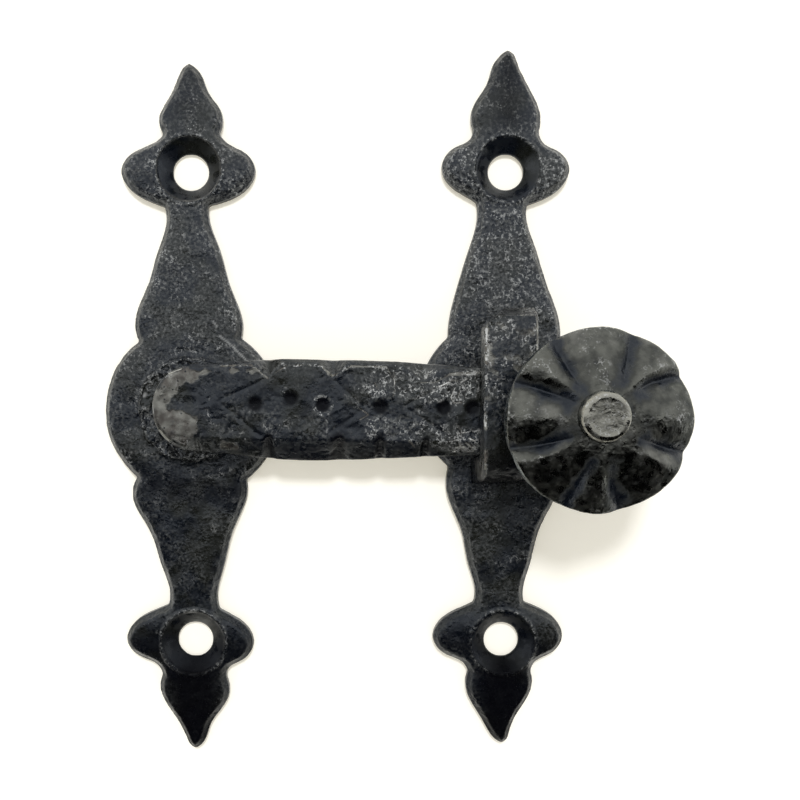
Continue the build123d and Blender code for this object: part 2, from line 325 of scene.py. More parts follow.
def smooth_step(low, high, values):
    """Zero below low, one above high, and a smooth S between: 3t squared less 2t cubed."""
    t = np.clip((values - low) / (high - low), 0.0, 1.0)
    return t * t * (3.0 - 2.0 * t)


def lattice_noise(points, cell, seed):
    """Smooth noise between -1 and 1.

    Random values sit on a cubic lattice with the given cell, and each point blends the eight
    values round it by the smooth step of its place in the cell.
    """
    side = 48
    table = np.random.default_rng(seed).uniform(-1.0, 1.0, (side, side, side))
    grid = points / cell
    low = np.floor(grid).astype(int)
    share = smooth_step(0.0, 1.0, grid - low)
    total = np.zeros(len(points))
    for corner in np.ndindex(2, 2, 2):
        index = (low + corner) % side
        weight = np.prod(np.where(corner, share, 1.0 - share), axis=1)
        total += weight * table[index[:, 0], index[:, 1], index[:, 2]]
    return total


def rough_noise(points, cell, seed, octaves=3):
    """Noise in octaves: each has half the cell and 0.6 of the height of the one before."""
    total = np.zeros(len(points))
    height = 1.0
    for octave in range(octaves):
        total += height * lattice_noise(points, cell / 2**octave, seed + octave)
        height *= 0.6
    return total


def scale_pits(points, size, seed):
    """Scattered pits of about the given size: rough noise where it is above zero."""
    return np.clip(rough_noise(points, size, seed), 0.0, None)


def nearest_distance(flat, places):
    """Each flat point's distance to the nearest of several places."""
    nearest = np.full(len(flat), np.inf)
    for place in places:
        nearest = np.minimum(nearest, ((flat - place) ** 2).sum(axis=1))
    return np.sqrt(nearest)


def hammer_blows(flat, spacing, seed):
    """Shallow bowls round scattered blows.

    One less the square of the distance to the nearest blow, over 0.8 of their spacing, and
    never below zero. Where two bowls meet they leave a soft ridge.
    """
    low = flat.min(axis=0) - spacing
    span = flat.max(axis=0) + spacing - low
    count = int(np.prod(span) / spacing**2)
    blows = low + np.random.default_rng(seed).uniform(size=(count, 2)) * span
    away = nearest_distance(flat, blows)
    return np.clip(1.0 - (away / (0.8 * spacing)) ** 2, 0.0, None)


def neighbour_mean(values, edges):
    """Each point's mean over the points that share an edge with it."""
    count = len(values)
    ends = np.concatenate([edges[:, 0], edges[:, 1]])
    others = np.concatenate([edges[:, 1], edges[:, 0]])
    total = np.bincount(ends, minlength=count).astype(float)
    if values.ndim == 1:
        return np.bincount(ends, values[others], count) / total
    columns = [np.bincount(ends, column[others], count) / total for column in values.T]
    return np.stack(columns, axis=1)


def segment_distance(flat, start, end):
    """Distance of flat points to a straight stroke between two places."""
    start = np.asarray(start, float)
    run = np.asarray(end, float) - start
    share = np.clip(((flat - start) @ run) / (run @ run), 0.0, 1.0)
    return np.linalg.norm(flat - start - share[:, None] * run, axis=1)


def strokes(flat, marks, soft):
    """The strongest of several strokes: each fades out over the soft width at its border."""
    strongest = np.zeros(len(flat))
    for start, end, half_width, strength in marks:
        away = segment_distance(flat, start, end)
        inside = 1.0 - smooth_step(half_width - soft / 2, half_width + soft / 2, away)
        strongest = np.maximum(strongest, strength * inside)
    return strongest


# Meshes


class Skin:
    """The points, normals and edges of a piece's mesh as arrays, in millimetres."""

    def __init__(self, mesh):
        self.mesh = mesh
        count = len(mesh.vertices)
        self.points = np.empty(count * 3)
        mesh.vertices.foreach_get("co", self.points)
        self.points = self.points.reshape(-1, 3) / MM
        self.edges = np.empty(len(mesh.edges) * 2, int)
        mesh.edges.foreach_get("vertices", self.edges)
        self.edges = self.edges.reshape(-1, 2)
        self.read_normals()

    def read_normals(self):
        """Reads the points' normals from the mesh."""
        self.normals = np.empty(len(self.points) * 3)
        self.mesh.vertices.foreach_get("normal", self.normals)
        self.normals = self.normals.reshape(-1, 3)

    def write(self):
        """Puts the points back into the mesh."""
        self.mesh.vertices.foreach_set("co", (self.points * MM).ravel())
        self.mesh.update()
        self.read_normals()

    def flat(self):
        """Each point's place seen from the front: sideways and up."""
        return self.points[:, [0, 2]]

    def out(self):
        """How far each point stands out from the door."""
        return -self.points[:, 1]

    def facing(self, low, high):
        """One where the skin faces the front, zero where it faces away, and a smooth step between."""
        return smooth_step(low, high, -self.normals[:, 1])

    def smooth(self, rounds):
        """Eases each point halfway to its neighbours' mean, then back by 0.98 of such a step."""
        for _ in range(rounds):
            self.points += 0.5 * (neighbour_mean(self.points, self.edges) - self.points)
            self.points -= 0.49 * (neighbour_mean(self.points, self.edges) - self.points)

    def raised(self, rounds):
        """How far each point stands out from the skin round it, along its normal."""
        mean = self.points
        for _ in range(rounds):
            mean = neighbour_mean(mean, self.edges)
        return ((self.points - mean) * self.normals).sum(axis=1)

    def sink(self, depth):
        """Moves each point inwards along its normal."""
        self.points -= self.normals * depth[:, None]

    def keep_in(self, node):
        """Holds the points inside the frame node's own box."""
        low, high = (np.array(end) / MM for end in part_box(node))
        self.points = np.clip(self.points, low, high)

    def mark(self, name, values):
        """Stores one number for each point, for the material to read."""
        layer = self.mesh.attributes.new(name, "FLOAT", "POINT")
        layer.data.foreach_set("value", np.clip(values, 0.0, 1.0).astype(np.float32))


def link(name, mesh):
    """An object at the origin that shows the mesh."""
    piece = bpy.data.objects.new(name, mesh)
    bpy.context.scene.collection.objects.link(piece)
    return piece


def even_copy(node, step):
    """A copy of a frame node with its triangles merged and its skin in even small squares."""
    name = node + "_iron"
    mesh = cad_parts[node].data.copy()
    work = bmesh.new()
    work.from_mesh(mesh)
    bmesh.ops.remove_doubles(work, verts=work.verts, dist=0.001 * MM)
    bmesh.ops.scale(work, vec=Vector((1, 1, 1)) / MM, verts=work.verts)
    bmesh.ops.recalc_face_normals(work, faces=work.faces)
    work.to_mesh(mesh)
    work.free()
    piece = link(name, mesh)
    remesh = piece.modifiers.new("Even skin", "REMESH")
    remesh.mode = "VOXEL"
    remesh.voxel_size = step / MM
    shown = piece.evaluated_get(bpy.context.evaluated_depsgraph_get())
    even = bpy.data.meshes.new_from_object(shown)
    piece.modifiers.clear()
    piece.data = even
    even.name = name
    bpy.data.meshes.remove(mesh)
    even.materials.clear()
    points = np.empty(len(even.vertices) * 3)
    even.vertices.foreach_get("co", points)
    even.vertices.foreach_set("co", points * MM)
    even.shade_smooth()
    even.update()
    return piece


def grid_mesh(name, points, around):
    """A closed skin from rows of points: each row is a ring, and the two end rows are poles.

    points has one row for each ring between the poles, and around points in each ring. The
    first and the last row are each drawn together into their mean.
    """
    rings = points.reshape(-1, around, 3)
    first = rings[0].mean(axis=0)
    last = rings[-1].mean(axis=0)
    inner = rings[1:-1].reshape(-1, 3)
    vertices = np.vstack([first, inner, last]) * MM
    index = 1 + np.arange(len(inner)).reshape(-1, around)
    beside = np.roll(index, -1, axis=1)
    quads = np.stack([index[:-1], beside[:-1], beside[1:], index[1:]], axis=-1).reshape(-1, 4)
    top = np.stack([np.zeros(around, int), beside[0], index[0]], axis=-1)
    foot = np.full(around, len(vertices) - 1)
    low = np.stack([foot, index[-1], beside[-1]], axis=-1)
    mesh = bpy.data.meshes.new(name)
    mesh.from_pydata(vertices.tolist(), [], top.tolist() + quads.tolist() + low.tolist())
    work = bmesh.new()
    work.from_mesh(mesh)
    bmesh.ops.recalc_face_normals(work, faces=work.faces)
    work.to_mesh(mesh)
    work.free()
    mesh.shade_smooth()
    mesh.update()
    return mesh


def resample(profile, step):
    """Points at even steps along a profile, with each of its corners kept."""
    profile = np.asarray(profile, float)
    pieces = [profile[:1]]
    for start, end in zip(profile[:-1], profile[1:]):
        count = max(1, int(np.ceil(np.linalg.norm(end - start) / step)))
        pieces.append(start + (end - start) * np.linspace(0, 1, count + 1)[1:, None])
    return np.vstack(pieces)


def round_axis(radius, front, angle, centre):
    """Points at a radius and an angle round an axis along Y, and at a distance from the door.

    Sideways is the centre plus the radius by the angle's cosine, and up is the centre plus the
    radius by its sine.
    """
    x = centre[0] + radius * np.cos(angle)
    z = centre[1] + radius * np.sin(angle)
    return np.stack([x, np.broadcast_to(-front, x.shape), z], axis=-1).reshape(-1, 3)


def turned_piece(node, profile, step, around):
    """A profile of (radius, distance from the door), carried round the frame node's middle."""
    name = node + "_iron"
    rings = resample(profile, step)
    angle = np.linspace(0.0, tau, around, endpoint=False)
    points = round_axis(rings[:, :1], rings[:, 1:], angle, centre_of(node))
    return link(name, grid_mesh(name, points, around))


# Iron finishes


def add_node(tree, kind, label, **settings):
    """A shader node with its own settings."""
    made = tree.nodes.new(kind)
    made.label = label
    for key, value in settings.items():
        setattr(made, key, value)
    return made


def set_input(tree, node, socket, value):
    """Sets a socket to a number or a colour, or links it to another node's output."""
    if isinstance(value, bpy.types.NodeSocket):
        tree.links.new(value, node.inputs[socket])
    else:
        node.inputs[socket].default_value = value


def place_in_mm(tree):
    """The surface's own place in millimetres."""
    coordinate = add_node(tree, "ShaderNodeTexCoord", "Place")
    scaled = add_node(tree, "ShaderNodeMapping", "Place in mm")
    scaled.inputs["Scale"].default_value = (1 / MM, 1 / MM, 1 / MM)
    tree.links.new(coordinate.outputs["Object"], scaled.inputs["Vector"])
    return scaled.outputs["Vector"]


def noise(tree, place, size, label, detail=3.0):
    """Cloudy noise with patches of about the given size in millimetres."""
    made = add_node(tree, "ShaderNodeTexNoise", label)
    set_input(tree, made, "Vector", place)
    set_input(tree, made, "Scale", 1.0 / size)
    set_input(tree, made, "Detail", detail)
    return made.outputs["Fac"]


def cells(tree, place, size, label, feature="F1"):
    """The distance to the nearest cell's middle or edge, in cells of about the given size."""
    made = add_node(tree, "ShaderNodeTexVoronoi", label, feature=feature)
    set_input(tree, made, "Vector", place)
    set_input(tree, made, "Scale", 1.0 / size)
    return made.outputs["Distance"]


def step_up(tree, value, low, high, label, top=1.0):
    """Zero below low, the top value above high, and a smooth step between."""
    made = add_node(tree, "ShaderNodeMapRange", label, interpolation_type="SMOOTHSTEP")
    set_input(tree, made, "Value", value)
    set_input(tree, made, "From Min", low)
    set_input(tree, made, "From Max", high)
    set_input(tree, made, "To Max", top)
    return made.outputs["Result"]


def combine(tree, operation, first, second, label):
    """One sum, product or other operation on two values."""
    made = add_node(tree, "ShaderNodeMath", label, operation=operation)
    set_input(tree, made, 0, first)
    set_input(tree, made, 1, second)
    return made.outputs[0]


def blend_colour(tree, share, first, second, label):
    """The first colour where share is zero and the second where it is one."""
    made = add_node(tree, "ShaderNodeMix", label, data_type="RGBA")
    set_input(tree, made, "Factor", share)
    for socket, colour in ((6, first), (7, second)):
        if not isinstance(colour, bpy.types.NodeSocket):
            colour = (*colour, 1.0)
        set_input(tree, made, socket, colour)
    return made.outputs[2]


def read_mark(tree, name):
    """The number stored on the mesh under that name, or zero where it has none."""
    made = add_node(tree, "ShaderNodeAttribute", name, attribute_name=name)
    return made.outputs["Fac"]


def new_material(name):
    """A new material, its tree and its surface shader."""
    material = bpy.data.materials.new(name)
    material.use_nodes = True
    tree = material.node_tree
    return material, tree, tree.nodes["Principled BSDF"]


def crumbled_height(tree, place):
    """The height of crumbled paint: fine grains, with broader swells under them."""
    grain = noise(tree, place, 0.42, "Paint grain", detail=2.0)
    swell = noise(tree, place, 2.2, "Paint swell", detail=4.0)
    broad = combine(tree, "MULTIPLY", swell, 2.2, "Broad swell")
    return combine(tree, "ADD", grain, broad, "Crumbled paint")


def scuff_share(tree, place, rub_and_light):
    """How scuffed the paint is: patches that grow and join where the rub mark is high, which on the
    plates also holds painted light.
    """
    patches = noise(tree, place, 4.5, "Scuffed patches", detail=4.0)
    reach = combine(tree, "ADD", patches, rub_and_light, "Scuffed reach")
    return step_up(tree, reach, 0.38, 0.92, "Scuffed")


def curls(tree, place, rub_and_light):
    """Where small curls of bright iron show: bent cell edges, broken up, in patches that grow with the
    rub mark, which on the plates and the hook also holds painted light.
    """
    bend = add_node(tree, "ShaderNodeTexNoise", "Bend")
    set_input(tree, bend, "Vector", place)
    set_input(tree, bend, "Scale", 2.0)
    bent = add_node(tree, "ShaderNodeMix", "Bent place", data_type="VECTOR")
    set_input(tree, bent, "Factor", 0.55)
    tree.links.new(place, bent.inputs[4])
    tree.links.new(bend.outputs["Color"], bent.inputs[5])
    edges = cells(tree, bent.outputs[1], 0.36, "Curl edges", "DISTANCE_TO_EDGE")
    thin = step_up(tree, edges, 0.12, 0.00, "Thin curls")
    broken = step_up(tree, noise(tree, place, 0.7, "Breaks"), 0.47, 0.60, "Broken curls")
    dots = step_up(tree, cells(tree, place, 0.8, "Dots"), 0.20, 0.05, "Small dots")
    short = combine(tree, "MULTIPLY", thin, broken, "Short curls")
    marks = combine(tree, "MAXIMUM", short, dots, "Marks")
    patches = noise(tree, place, 3.0, "Patches", detail=5.0)
    reach = combine(tree, "ADD", patches, rub_and_light, "Rubbed patches")
    return combine(tree, "MULTIPLY", marks, step_up(tree, reach, 0.62, 0.95, "Curl share"), "Curls")


def scuffed_paint(tree, place, finish, rub_and_light):
    """Blue-black and coal-black clouds, with ashy mottling where the paint is scuffed."""
    tone = step_up(tree, noise(tree, place, 7.0, "Tone", detail=6.0), 0.42, 0.60, "Tone share")
    paint = blend_colour(tree, tone, finish.blue_black, finish.coal_black, "Paint")
    mottle = step_up(tree, noise(tree, place, 0.48, "Mottle", detail=4.0), 0.42, 0.68, "Mottle share")
    share = combine(tree, "MULTIPLY", mottle, scuff_share(tree, place, rub_and_light), "Ash share")
    return blend_colour(tree, share, paint, finish.ash, "Scuffed paint")


def finish_surface(tree, shader, finish, place, relief, depth, matt=0.6):
    """The cool gloss, the sheen and the relief that all the irons share.

    The painted shade dulls the gloss. The roughness rises to the matt value, and the depth is in
    millimetres.
    """
    shader.inputs["Specular Tint"].default_value = (*finish.gloss_tint, 1.0)
    dull = combine(tree, "MULTIPLY", read_mark(tree, "painted_shade"), finish.shade_dulls, "Shade dulls gloss")
    gloss = combine(tree, "SUBTRACT", finish.gloss, dull, "Gloss level")
    set_input(tree, shader, "Specular IOR Level", gloss)
    sheen = noise(tree, place, 1.4, "Sheen", detail=4.0)
    set_input(tree, shader, "Roughness", step_up(tree, sheen, 0.1, 0.9, "Sheen share", top=matt))
    bump = add_node(tree, "ShaderNodeBump", "Relief of the surface")
    set_input(tree, bump, "Height", relief)
    set_input(tree, bump, "Distance", depth * MM)
    set_input(tree, shader, "Normal", bump.outputs["Normal"])


def plate_iron(name, finish):
    """Painted iron with curls of bare iron. The countersinks stay smooth and dark."""
    material, tree, shader = new_material(name)
    place = place_in_mm(tree)
    rub_and_light = read_mark(tree, "rub_and_light")
    calm = read_mark(tree, "calm")
    painted_shade = read_mark(tree, "painted_shade")
    outside = combine(tree, "SUBTRACT", 1.0, calm, "Outside the countersinks")
    open_rub_and_light = combine(tree, "SUBTRACT", rub_and_light, calm, "Rubbed")
    paint = scuffed_paint(tree, place, finish, open_rub_and_light)
    # Painted shade: the paint turns near-black where the painted shade mark is, and no curls show there
    paint = blend_colour(tree, painted_shade, paint, finish.shade_black, "Paint in painted shade")
    bare = combine(tree, "MULTIPLY", curls(tree, place, rub_and_light), 0.62, "Soft curls")
    bare = combine(tree, "MULTIPLY", bare, outside, "Curls outside")
    bare = combine(tree, "MULTIPLY", bare, combine(tree, "SUBTRACT", 1.0, painted_shade, "Out of painted shade"), "Curls outside painted shade")
    scratch = combine(tree, "MULTIPLY", read_mark(tree, "worn"), 0.5, "Scratches")
    bare = combine(tree, "MAXIMUM", bare, scratch, "Bare iron")
    colour = blend_colour(tree, bare, paint, finish.bright_iron, "Painted and bare")
    set_input(tree, shader, "Base Color", colour)
    set_input(tree, shader, "Metallic", combine(tree, "MULTIPLY", bare, 0.7, "Metal share"))
    deep = combine(tree, "MULTIPLY", scuff_share(tree, place, open_rub_and_light), 2.5, "Deeper relief")
    deep = combine(tree, "ADD", deep, 1.5, "Relief share")
    relief = combine(tree, "MULTIPLY", crumbled_height(tree, place), outside, "Open relief")
    relief = combine(tree, "MULTIPLY", relief, deep, "Relief")
    finish_surface(tree, shader, finish, place, relief, 0.04)
    return material


def worn_share(tree, place):
    """Where the paint is worn off: a ragged border round the worn marks, and round small pits."""
    ragged = combine(tree, "MULTIPLY", noise(tree, place, 2.2, "Ragged", detail=6.0), 1.6, "Ragged edge")
    ragged = combine(tree, "ADD", read_mark(tree, "worn"), ragged, "Worn place")
    smooth_worn = step_up(tree, ragged, 1.20, 1.44, "Smooth worn")
    pits = step_up(tree, cells(tree, place, 1.1, "Pits"), 0.08, 0.16, "Small pits")
    return combine(tree, "MULTIPLY", smooth_worn, pits, "Worn round the pits")


def worn_iron(tree, place, finish):
    """Worn iron: brown and pewter clouds, and bright where it is rubbed most."""
    clouds = step_up(tree, noise(tree, place, 1.8, "Worn clouds", detail=4.0), 0.35, 0.62, "Cloud share")
    colour = blend_colour(tree, clouds, finish.worn_brown, finish.pewter, "Worn iron")
    shine = step_up(tree, read_mark(tree, "worn"), 0.84, 0.97, "Rubbed bright")
    return blend_colour(tree, shine, colour, finish.bright_iron, "Worn and bright")


def bar_iron(name, finish):
    """The bar's and hook's iron: paint worn through to smooth pewter where it is rubbed."""
    material, tree, shader = new_material(name)
    place = place_in_mm(tree)
    rub_and_light = read_mark(tree, "rub_and_light")
    painted_shade = read_mark(tree, "painted_shade")
    paint = scuffed_paint(tree, place, finish, rub_and_light)
    # Painted shade: the paint turns near-black where the painted shade mark is, and no curls show there
    paint = blend_colour(tree, painted_shade, paint, finish.shade_black, "Paint in painted shade")
    worn = worn_share(tree, place)
    colour = blend_colour(tree, worn, paint, worn_iron(tree, place, finish), "Painted and worn")
    unshaded = combine(tree, "SUBTRACT", 1.0, painted_shade, "Not in painted shade")
    bare = combine(tree, "MULTIPLY", curls(tree, place, rub_and_light), unshaded, "Bare curls")
    colour = blend_colour(tree, bare, colour, finish.bright_iron, "With curls")
    set_input(tree, shader, "Base Color", colour)
    metal = combine(tree, "MAXIMUM", bare, worn, "Bare iron")
    set_input(tree, shader, "Metallic", combine(tree, "MULTIPLY", metal, 0.85, "Metal share"))
    calmer = combine(tree, "MULTIPLY", worn, 0.85, "Smoothed")
    calmer = combine(tree, "SUBTRACT", 1.0, calmer, "Relief share")
    relief = combine(tree, "MULTIPLY", crumbled_height(tree, place), calmer, "Relief")
    finish_surface(tree, shader, finish, place, relief, 0.06)
    return material


def knob_iron(name, finish):
    """The knob's handled iron: satin, with darker furrows and a few bright specks."""
    material, tree, shader = new_material(name)
    place = place_in_mm(tree)
    rub_and_light = read_mark(tree, "rub_and_light")
    tone = noise(tree, place, 2.6, "Tone", detail=6.0)
    change = combine(tree, "SUBTRACT", tone, 0.5, "Even tone")
    change = combine(tree, "MULTIPLY", change, 1.6, "Tone change")
    share = combine(tree, "ADD", rub_and_light, change, "Handled")
    handled = step_up(tree, share, 0.05, 0.95, "Handled share")
    colour = blend_colour(tree, handled, finish.blue_black, finish.satin_iron, "Furrow and crest")
    clouds = step_up(tree, noise(tree, place, 4.2, "Rubbed clouds"), 0.52, 0.70, "Cloud share")
    clouds = combine(tree, "MULTIPLY", clouds, handled, "On crests")
    clouds = combine(tree, "MULTIPLY", clouds, 0.75, "Cloud level")
    colour = blend_colour(tree, clouds, colour, finish.pewter, "With clouds")
    colour = blend_colour(tree, read_mark(tree, "worn"), colour, finish.button_iron, "With the button")
    faint = combine(tree, "SUBTRACT", rub_and_light, 0.45, "Faint rub")
    bare = combine(tree, "MULTIPLY", curls(tree, place, faint), 0.7, "Specks")
    colour = blend_colour(tree, bare, colour, finish.bright_iron, "With specks")
    set_input(tree, shader, "Base Color", colour)
    set_input(tree, shader, "Metallic", step_up(tree, handled, 0.0, 0.5, "Metal share"))
    finish_surface(tree, shader, finish, place, crumbled_height(tree, place), 0.07, matt=0.68)
    return material


# The name and the maker of each slot's iron
IRONS = {
    "plate_iron": ("Painted plate iron", plate_iron),
    "bar_iron": ("Worn bar iron", bar_iron),
    "knob_iron": ("Satin knob iron", knob_iron),
}


def iron(slot):
    """The slot's material, made when a piece first needs it."""
    name, make = IRONS[slot]
    return bpy.data.materials.get(name) or make(name, bpy.context.scene.latch_finish)


def dress(piece, node, body, slot):
    """Gives a finished piece its iron and lets it stand for its frame node."""
    piece.data.materials.append(iron(slot))
    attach(piece, body)
    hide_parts(node)


# Plates


# The screw holes' height above and below the plates' middle, their countersinks' radius and the
# front's distance from the door, in millimetres
SCREW_HEIGHT = 39.5
SINK_RADIUS = 5.5
PLATE_FRONT = 3.0

# Half the width and height of the field in the boss that holds the pivot's or the hook's hole
BOSS_HOLES = (6.0, 12.0)

# The band along a plate's outline where its front falls away, and how far out from the door its
# walls are looked for
EDGE_WIDTH = 3.4
WALL_REACH = 2.5

# The outer radius of the pivot's seat and how far the seat stands out
SEAT_RADIUS = 9.3
SEAT_FRONT = 3.4

# The bar's round end over the seat: its radius, and its middle's place beside and above the pivot
BAR_END_RADIUS = 7.0
BAR_END_OFFSET = (1.0, -0.8)

# The size of the pits in the plates and of the lumps in the seat
PLATE_PIT_SIZE = 1.6
SEAT_LUMP_SIZE = 1.5

# Painted light on rubbed scale: how much more each plate's upper half is marked as rubbed, so it shows
# lighter
UPPER_LIGHT = {"pivot_plate": 0.19, "keeper_plate": 0.27}

# Scratches on the pivot plate above the bar, sideways and up: from, to, half-width and strength
SCRATCHES = [
    ((-21.4, 12.2), (-19.4, 10.6), 0.12, 0.8),
    ((-19.4, 10.6), (-17.2, 8.4), 0.12, 1.0),
    ((-17.2, 8.4), (-16.2, 7.0), 0.12, 0.9),
    ((-22.4, 14.6), (-21.8, 13.6), 0.10, 0.8),
    ((-33.6, 2.3), (-33.4, 2.5), 0.25, 1.6),
]

# Painted shade, which also takes the gloss, on both plates' lower ends, beside and above the
# plate's middle: from, to, half-width and strength
LOWER_SHADE = [
    ((0.0, -60.0), (0.0, -46.0), 5.0, 0.95),
    ((-9.0, -40.0), (9.0, -41.0), 2.5, 0.60),
]

# Each plate's further painted shade, below the pivot's boss and at the tips, in the same measure
FURTHER_SHADE = {
    "pivot_plate": [
        ((-7.0, -13.0), (8.0, -14.0), 2.0, 0.60),
        ((0.0, 50.0), (0.0, 60.0), 2.0, 0.35),
    ],
    "keeper_plate": [
        ((0.0, 48.0), (0.0, 60.0), 2.0, 0.70),
    ],
}


def sink_distance(skin, plate_x):
    """Each point's distance to the middle of the nearer countersink, seen from the front."""
    return nearest_distance(skin.flat(), [(plate_x, -SCREW_HEIGHT), (plate_x, SCREW_HEIGHT)])


def edge_distance(skin, plate_x):
    """Each point's distance to the plate's outline, seen from the front.

    The outline is sampled by every sixth point of the walls. There the normal has less than
    0.3 of its length along Y, and the countersinks and the holes in the boss are left out.
    """
    flat = skin.flat()
    walls = np.abs(skin.normals[:, 1]) < 0.3
    walls &= skin.out() < WALL_REACH
    walls &= sink_distance(skin, plate_x) > SINK_RADIUS
    walls &= (np.abs(flat - (plate_x, 0.0)) > BOSS_HOLES).any(axis=1)
    return nearest_distance(flat, flat[walls][::6])


def seat_crumble(skin):
    """Pits in the seat's open ring, deepest just outside the bar's round end."""
    seat = (centre_of("pivot_plate")[0], 0.0)
    flat = skin.flat()
    ring = 1.0 - smooth_step(SEAT_RADIUS, SEAT_RADIUS + 0.9, np.linalg.norm(flat - seat, axis=1))
    bar_end = centre_of("pivot_rivet") + BAR_END_OFFSET
    beyond = np.linalg.norm(flat - bar_end, axis=1)
    open_side = smooth_step(BAR_END_RADIUS, BAR_END_RADIUS + 0.5, beyond)
    beside_end = np.abs(flat[:, 1] - bar_end[1]) < BAR_END_RADIUS + 0.6
    along_bar = (flat[:, 0] > bar_end[0]) & beside_end
    open_side = np.where(along_bar, 0.0, open_side)
    above = smooth_step(PLATE_FRONT, SEAT_FRONT, skin.out())
    lumps = np.clip(0.45 + 0.75 * rough_noise(skin.points, SEAT_LUMP_SIZE, 71), 0.0, 1.7)
    return ring * open_side * skin.facing(0.0, 0.6) * above * lumps


def forge_plate(skin, node, seed, settings):
    """Lowers a plate's edges and gives its front hammer blows and scale pits.

    The front's height is scaled down towards the outline by the square of the nearness to it.
    """
    plate_x = centre_of(node)[0]
    away = sink_distance(skin, plate_x)
    clear = smooth_step(SINK_RADIUS - 0.3, SINK_RADIUS + 0.6, away)
    near_edge = np.clip(1.0 - edge_distance(skin, plate_x) / EDGE_WIDTH, 0.0, 1.0) ** 2
    skin.points[:, 1] *= 1.0 - clear * near_edge * settings.edge_fall / MM / PLATE_FRONT
    skin.write()
    blows = skin.facing(-0.3, 0.6) * hammer_blows(skin.flat(), settings.blow_spacing / MM, seed)
    pits = scale_pits(skin.points, PLATE_PIT_SIZE, seed + 10)
    outside_back = smooth_step(0.1, 0.8, skin.out())
    depth = settings.blow_depth / MM * blows + settings.scale_depth / MM * pits
    depth = depth * clear * outside_back
    if node == "pivot_plate":
        depth = depth + seat_crumble(skin)
    skin.sink(depth)
    skin.keep_in(node)
    skin.write()


def mark_plate(skin, node):
    """Stores where a plate is calm, rubbed, in painted shade and scratched bare.

    Calm is one inside a countersink. Rubbed follows how far the skin stands out, with a ring
    at each countersink's edge, and holds painted light: it rises towards the upper half, fades
    towards the lower end and falls back at the tips.
    """
    plate_x = centre_of(node)[0]
    flat = skin.flat()
    away = sink_distance(skin, plate_x)
    calm = 1.0 - smooth_step(SINK_RADIUS - 0.5, SINK_RADIUS, away)
    ring = 1.0 - smooth_step(0.15, 0.5, np.abs(away - SINK_RADIUS - 0.1))
    front = skin.facing(-0.2, 0.5)
    high = smooth_step(0.0, 0.10, skin.raised(8))
    # Painted light: the rub mark rises towards the upper half, so the scale shows lighter there, and
    # falls back at the tips
    upper = smooth_step(-45.0, 25.0, flat[:, 1]) - 0.5 * smooth_step(36.0, 50.0, flat[:, 1])
    rub_and_light = 0.04 + 0.10 * high + UPPER_LIGHT[node] * upper + 0.25 * ring
    if node == "pivot_plate":
        rub_and_light = rub_and_light + 0.45 * np.clip(seat_crumble(skin), 0.0, 1.0)
        skin.mark("worn", front * strokes(flat, SCRATCHES, 0.2))
    skin.mark("rub_and_light", front * rub_and_light)
    skin.mark("calm", front * calm)
    # Painted shade: near-black, with less gloss, at the lower ends, below the pivot's boss and at the
    # tips
    shade_black = strokes(flat - (plate_x, 0.0), LOWER_SHADE + FURTHER_SHADE[node], 7.0)
    skin.mark("painted_shade", front * shade_black)


class LATCH_OT_plates(Operator):
    """Make the two forged back plates"""

    bl_idname = "latch.plates"
    bl_label = "Back plates"

    def execute(self, context):
        settings = context.scene.latch_forging
        for seed, node in ((100, "pivot_plate"), (200, "keeper_plate")):
            piece = even_copy(node, settings.skin_step)
            skin = Skin(piece.data)
            skin.smooth(3)
            skin.write()
            forge_plate(skin, node, seed, settings)
            mark_plate(skin, node)
            dress(piece, node, "root", "plate_iron")
        return {"FINISHED"}


# Bar


# How far the bar droops from level
BAR_DROOP = radians(1.0)

# The bar's hammer blows and pits, in millimetres
BAR_BLOW_SPACING = 4.5
BAR_BLOW_DEPTH = 0.20
BAR_PIT_SIZE = 1.4
BAR_PIT_DEPTH = 0.12

# Half the height of the chiselled field, the chisel lines' greatest depth and the dots' radius
LINED_HALF = 4.4
LINE_DEPTH = 0.6
DOT_RADIUS = 1.15

# The bar's and the hook's mesh squares, as a share of the plates'
FINE_SHARE = 0.8

# Rubbed strokes on the bar's face: from, to, half-width and strength, in millimetres along and
# across the bar from its pivot
RUBBED_STROKES = [
    ((3.6, 5.0), (0.5, 4.5), 0.6, 0.60),
    ((0.2, 4.2), (-1.5, 4.0), 1.5, 0.64),
    ((-1.5, 4.0), (-4.7, 0.6), 1.6, 0.78),
    ((-4.9, 0.6), (-4.2, -3.0), 1.3, 0.80),
    ((-3.4, -3.6), (-1.0, -3.8), 2.7, 0.80),
    ((5.4, -6.7), (7.4, -6.9), 0.8, 0.8),
    ((6.6, 5.2), (10.0, 5.2), 0.5, 0.75),
]

# The front arris, worn bright, which dips into each notch in the upper edge
ARRIS_STROKES = [
    ((5.0, 6.0), (9.8, 6.1), 0.18, 1.0),
    ((9.8, 6.1), (12.4, 4.1), 0.18, 1.0),
    ((13.6, 5.0), (15.5, 6.2), 0.15, 0.9),
    ((15.5, 6.2), (20.7, 6.3), 0.18, 0.8),
    ((20.7, 6.3), (22.6, 4.7), 0.15, 0.9),
    ((22.6, 4.7), (25.5, 6.2), 0.15, 0.9),
    ((25.5, 6.2), (31.0, 6.2), 0.18, 1.0),
    ((31.0, 6.2), (32.6, 3.7), 0.15, 0.9),
    ((36.5, 3.8), (38.8, 3.9), 0.15, 0.9),
    ((38.8, 3.9), (41.0, 5.2), 0.18, 1.0),
    ((41.0, 5.2), (46.0, 5.6), 0.25, 1.0),
]

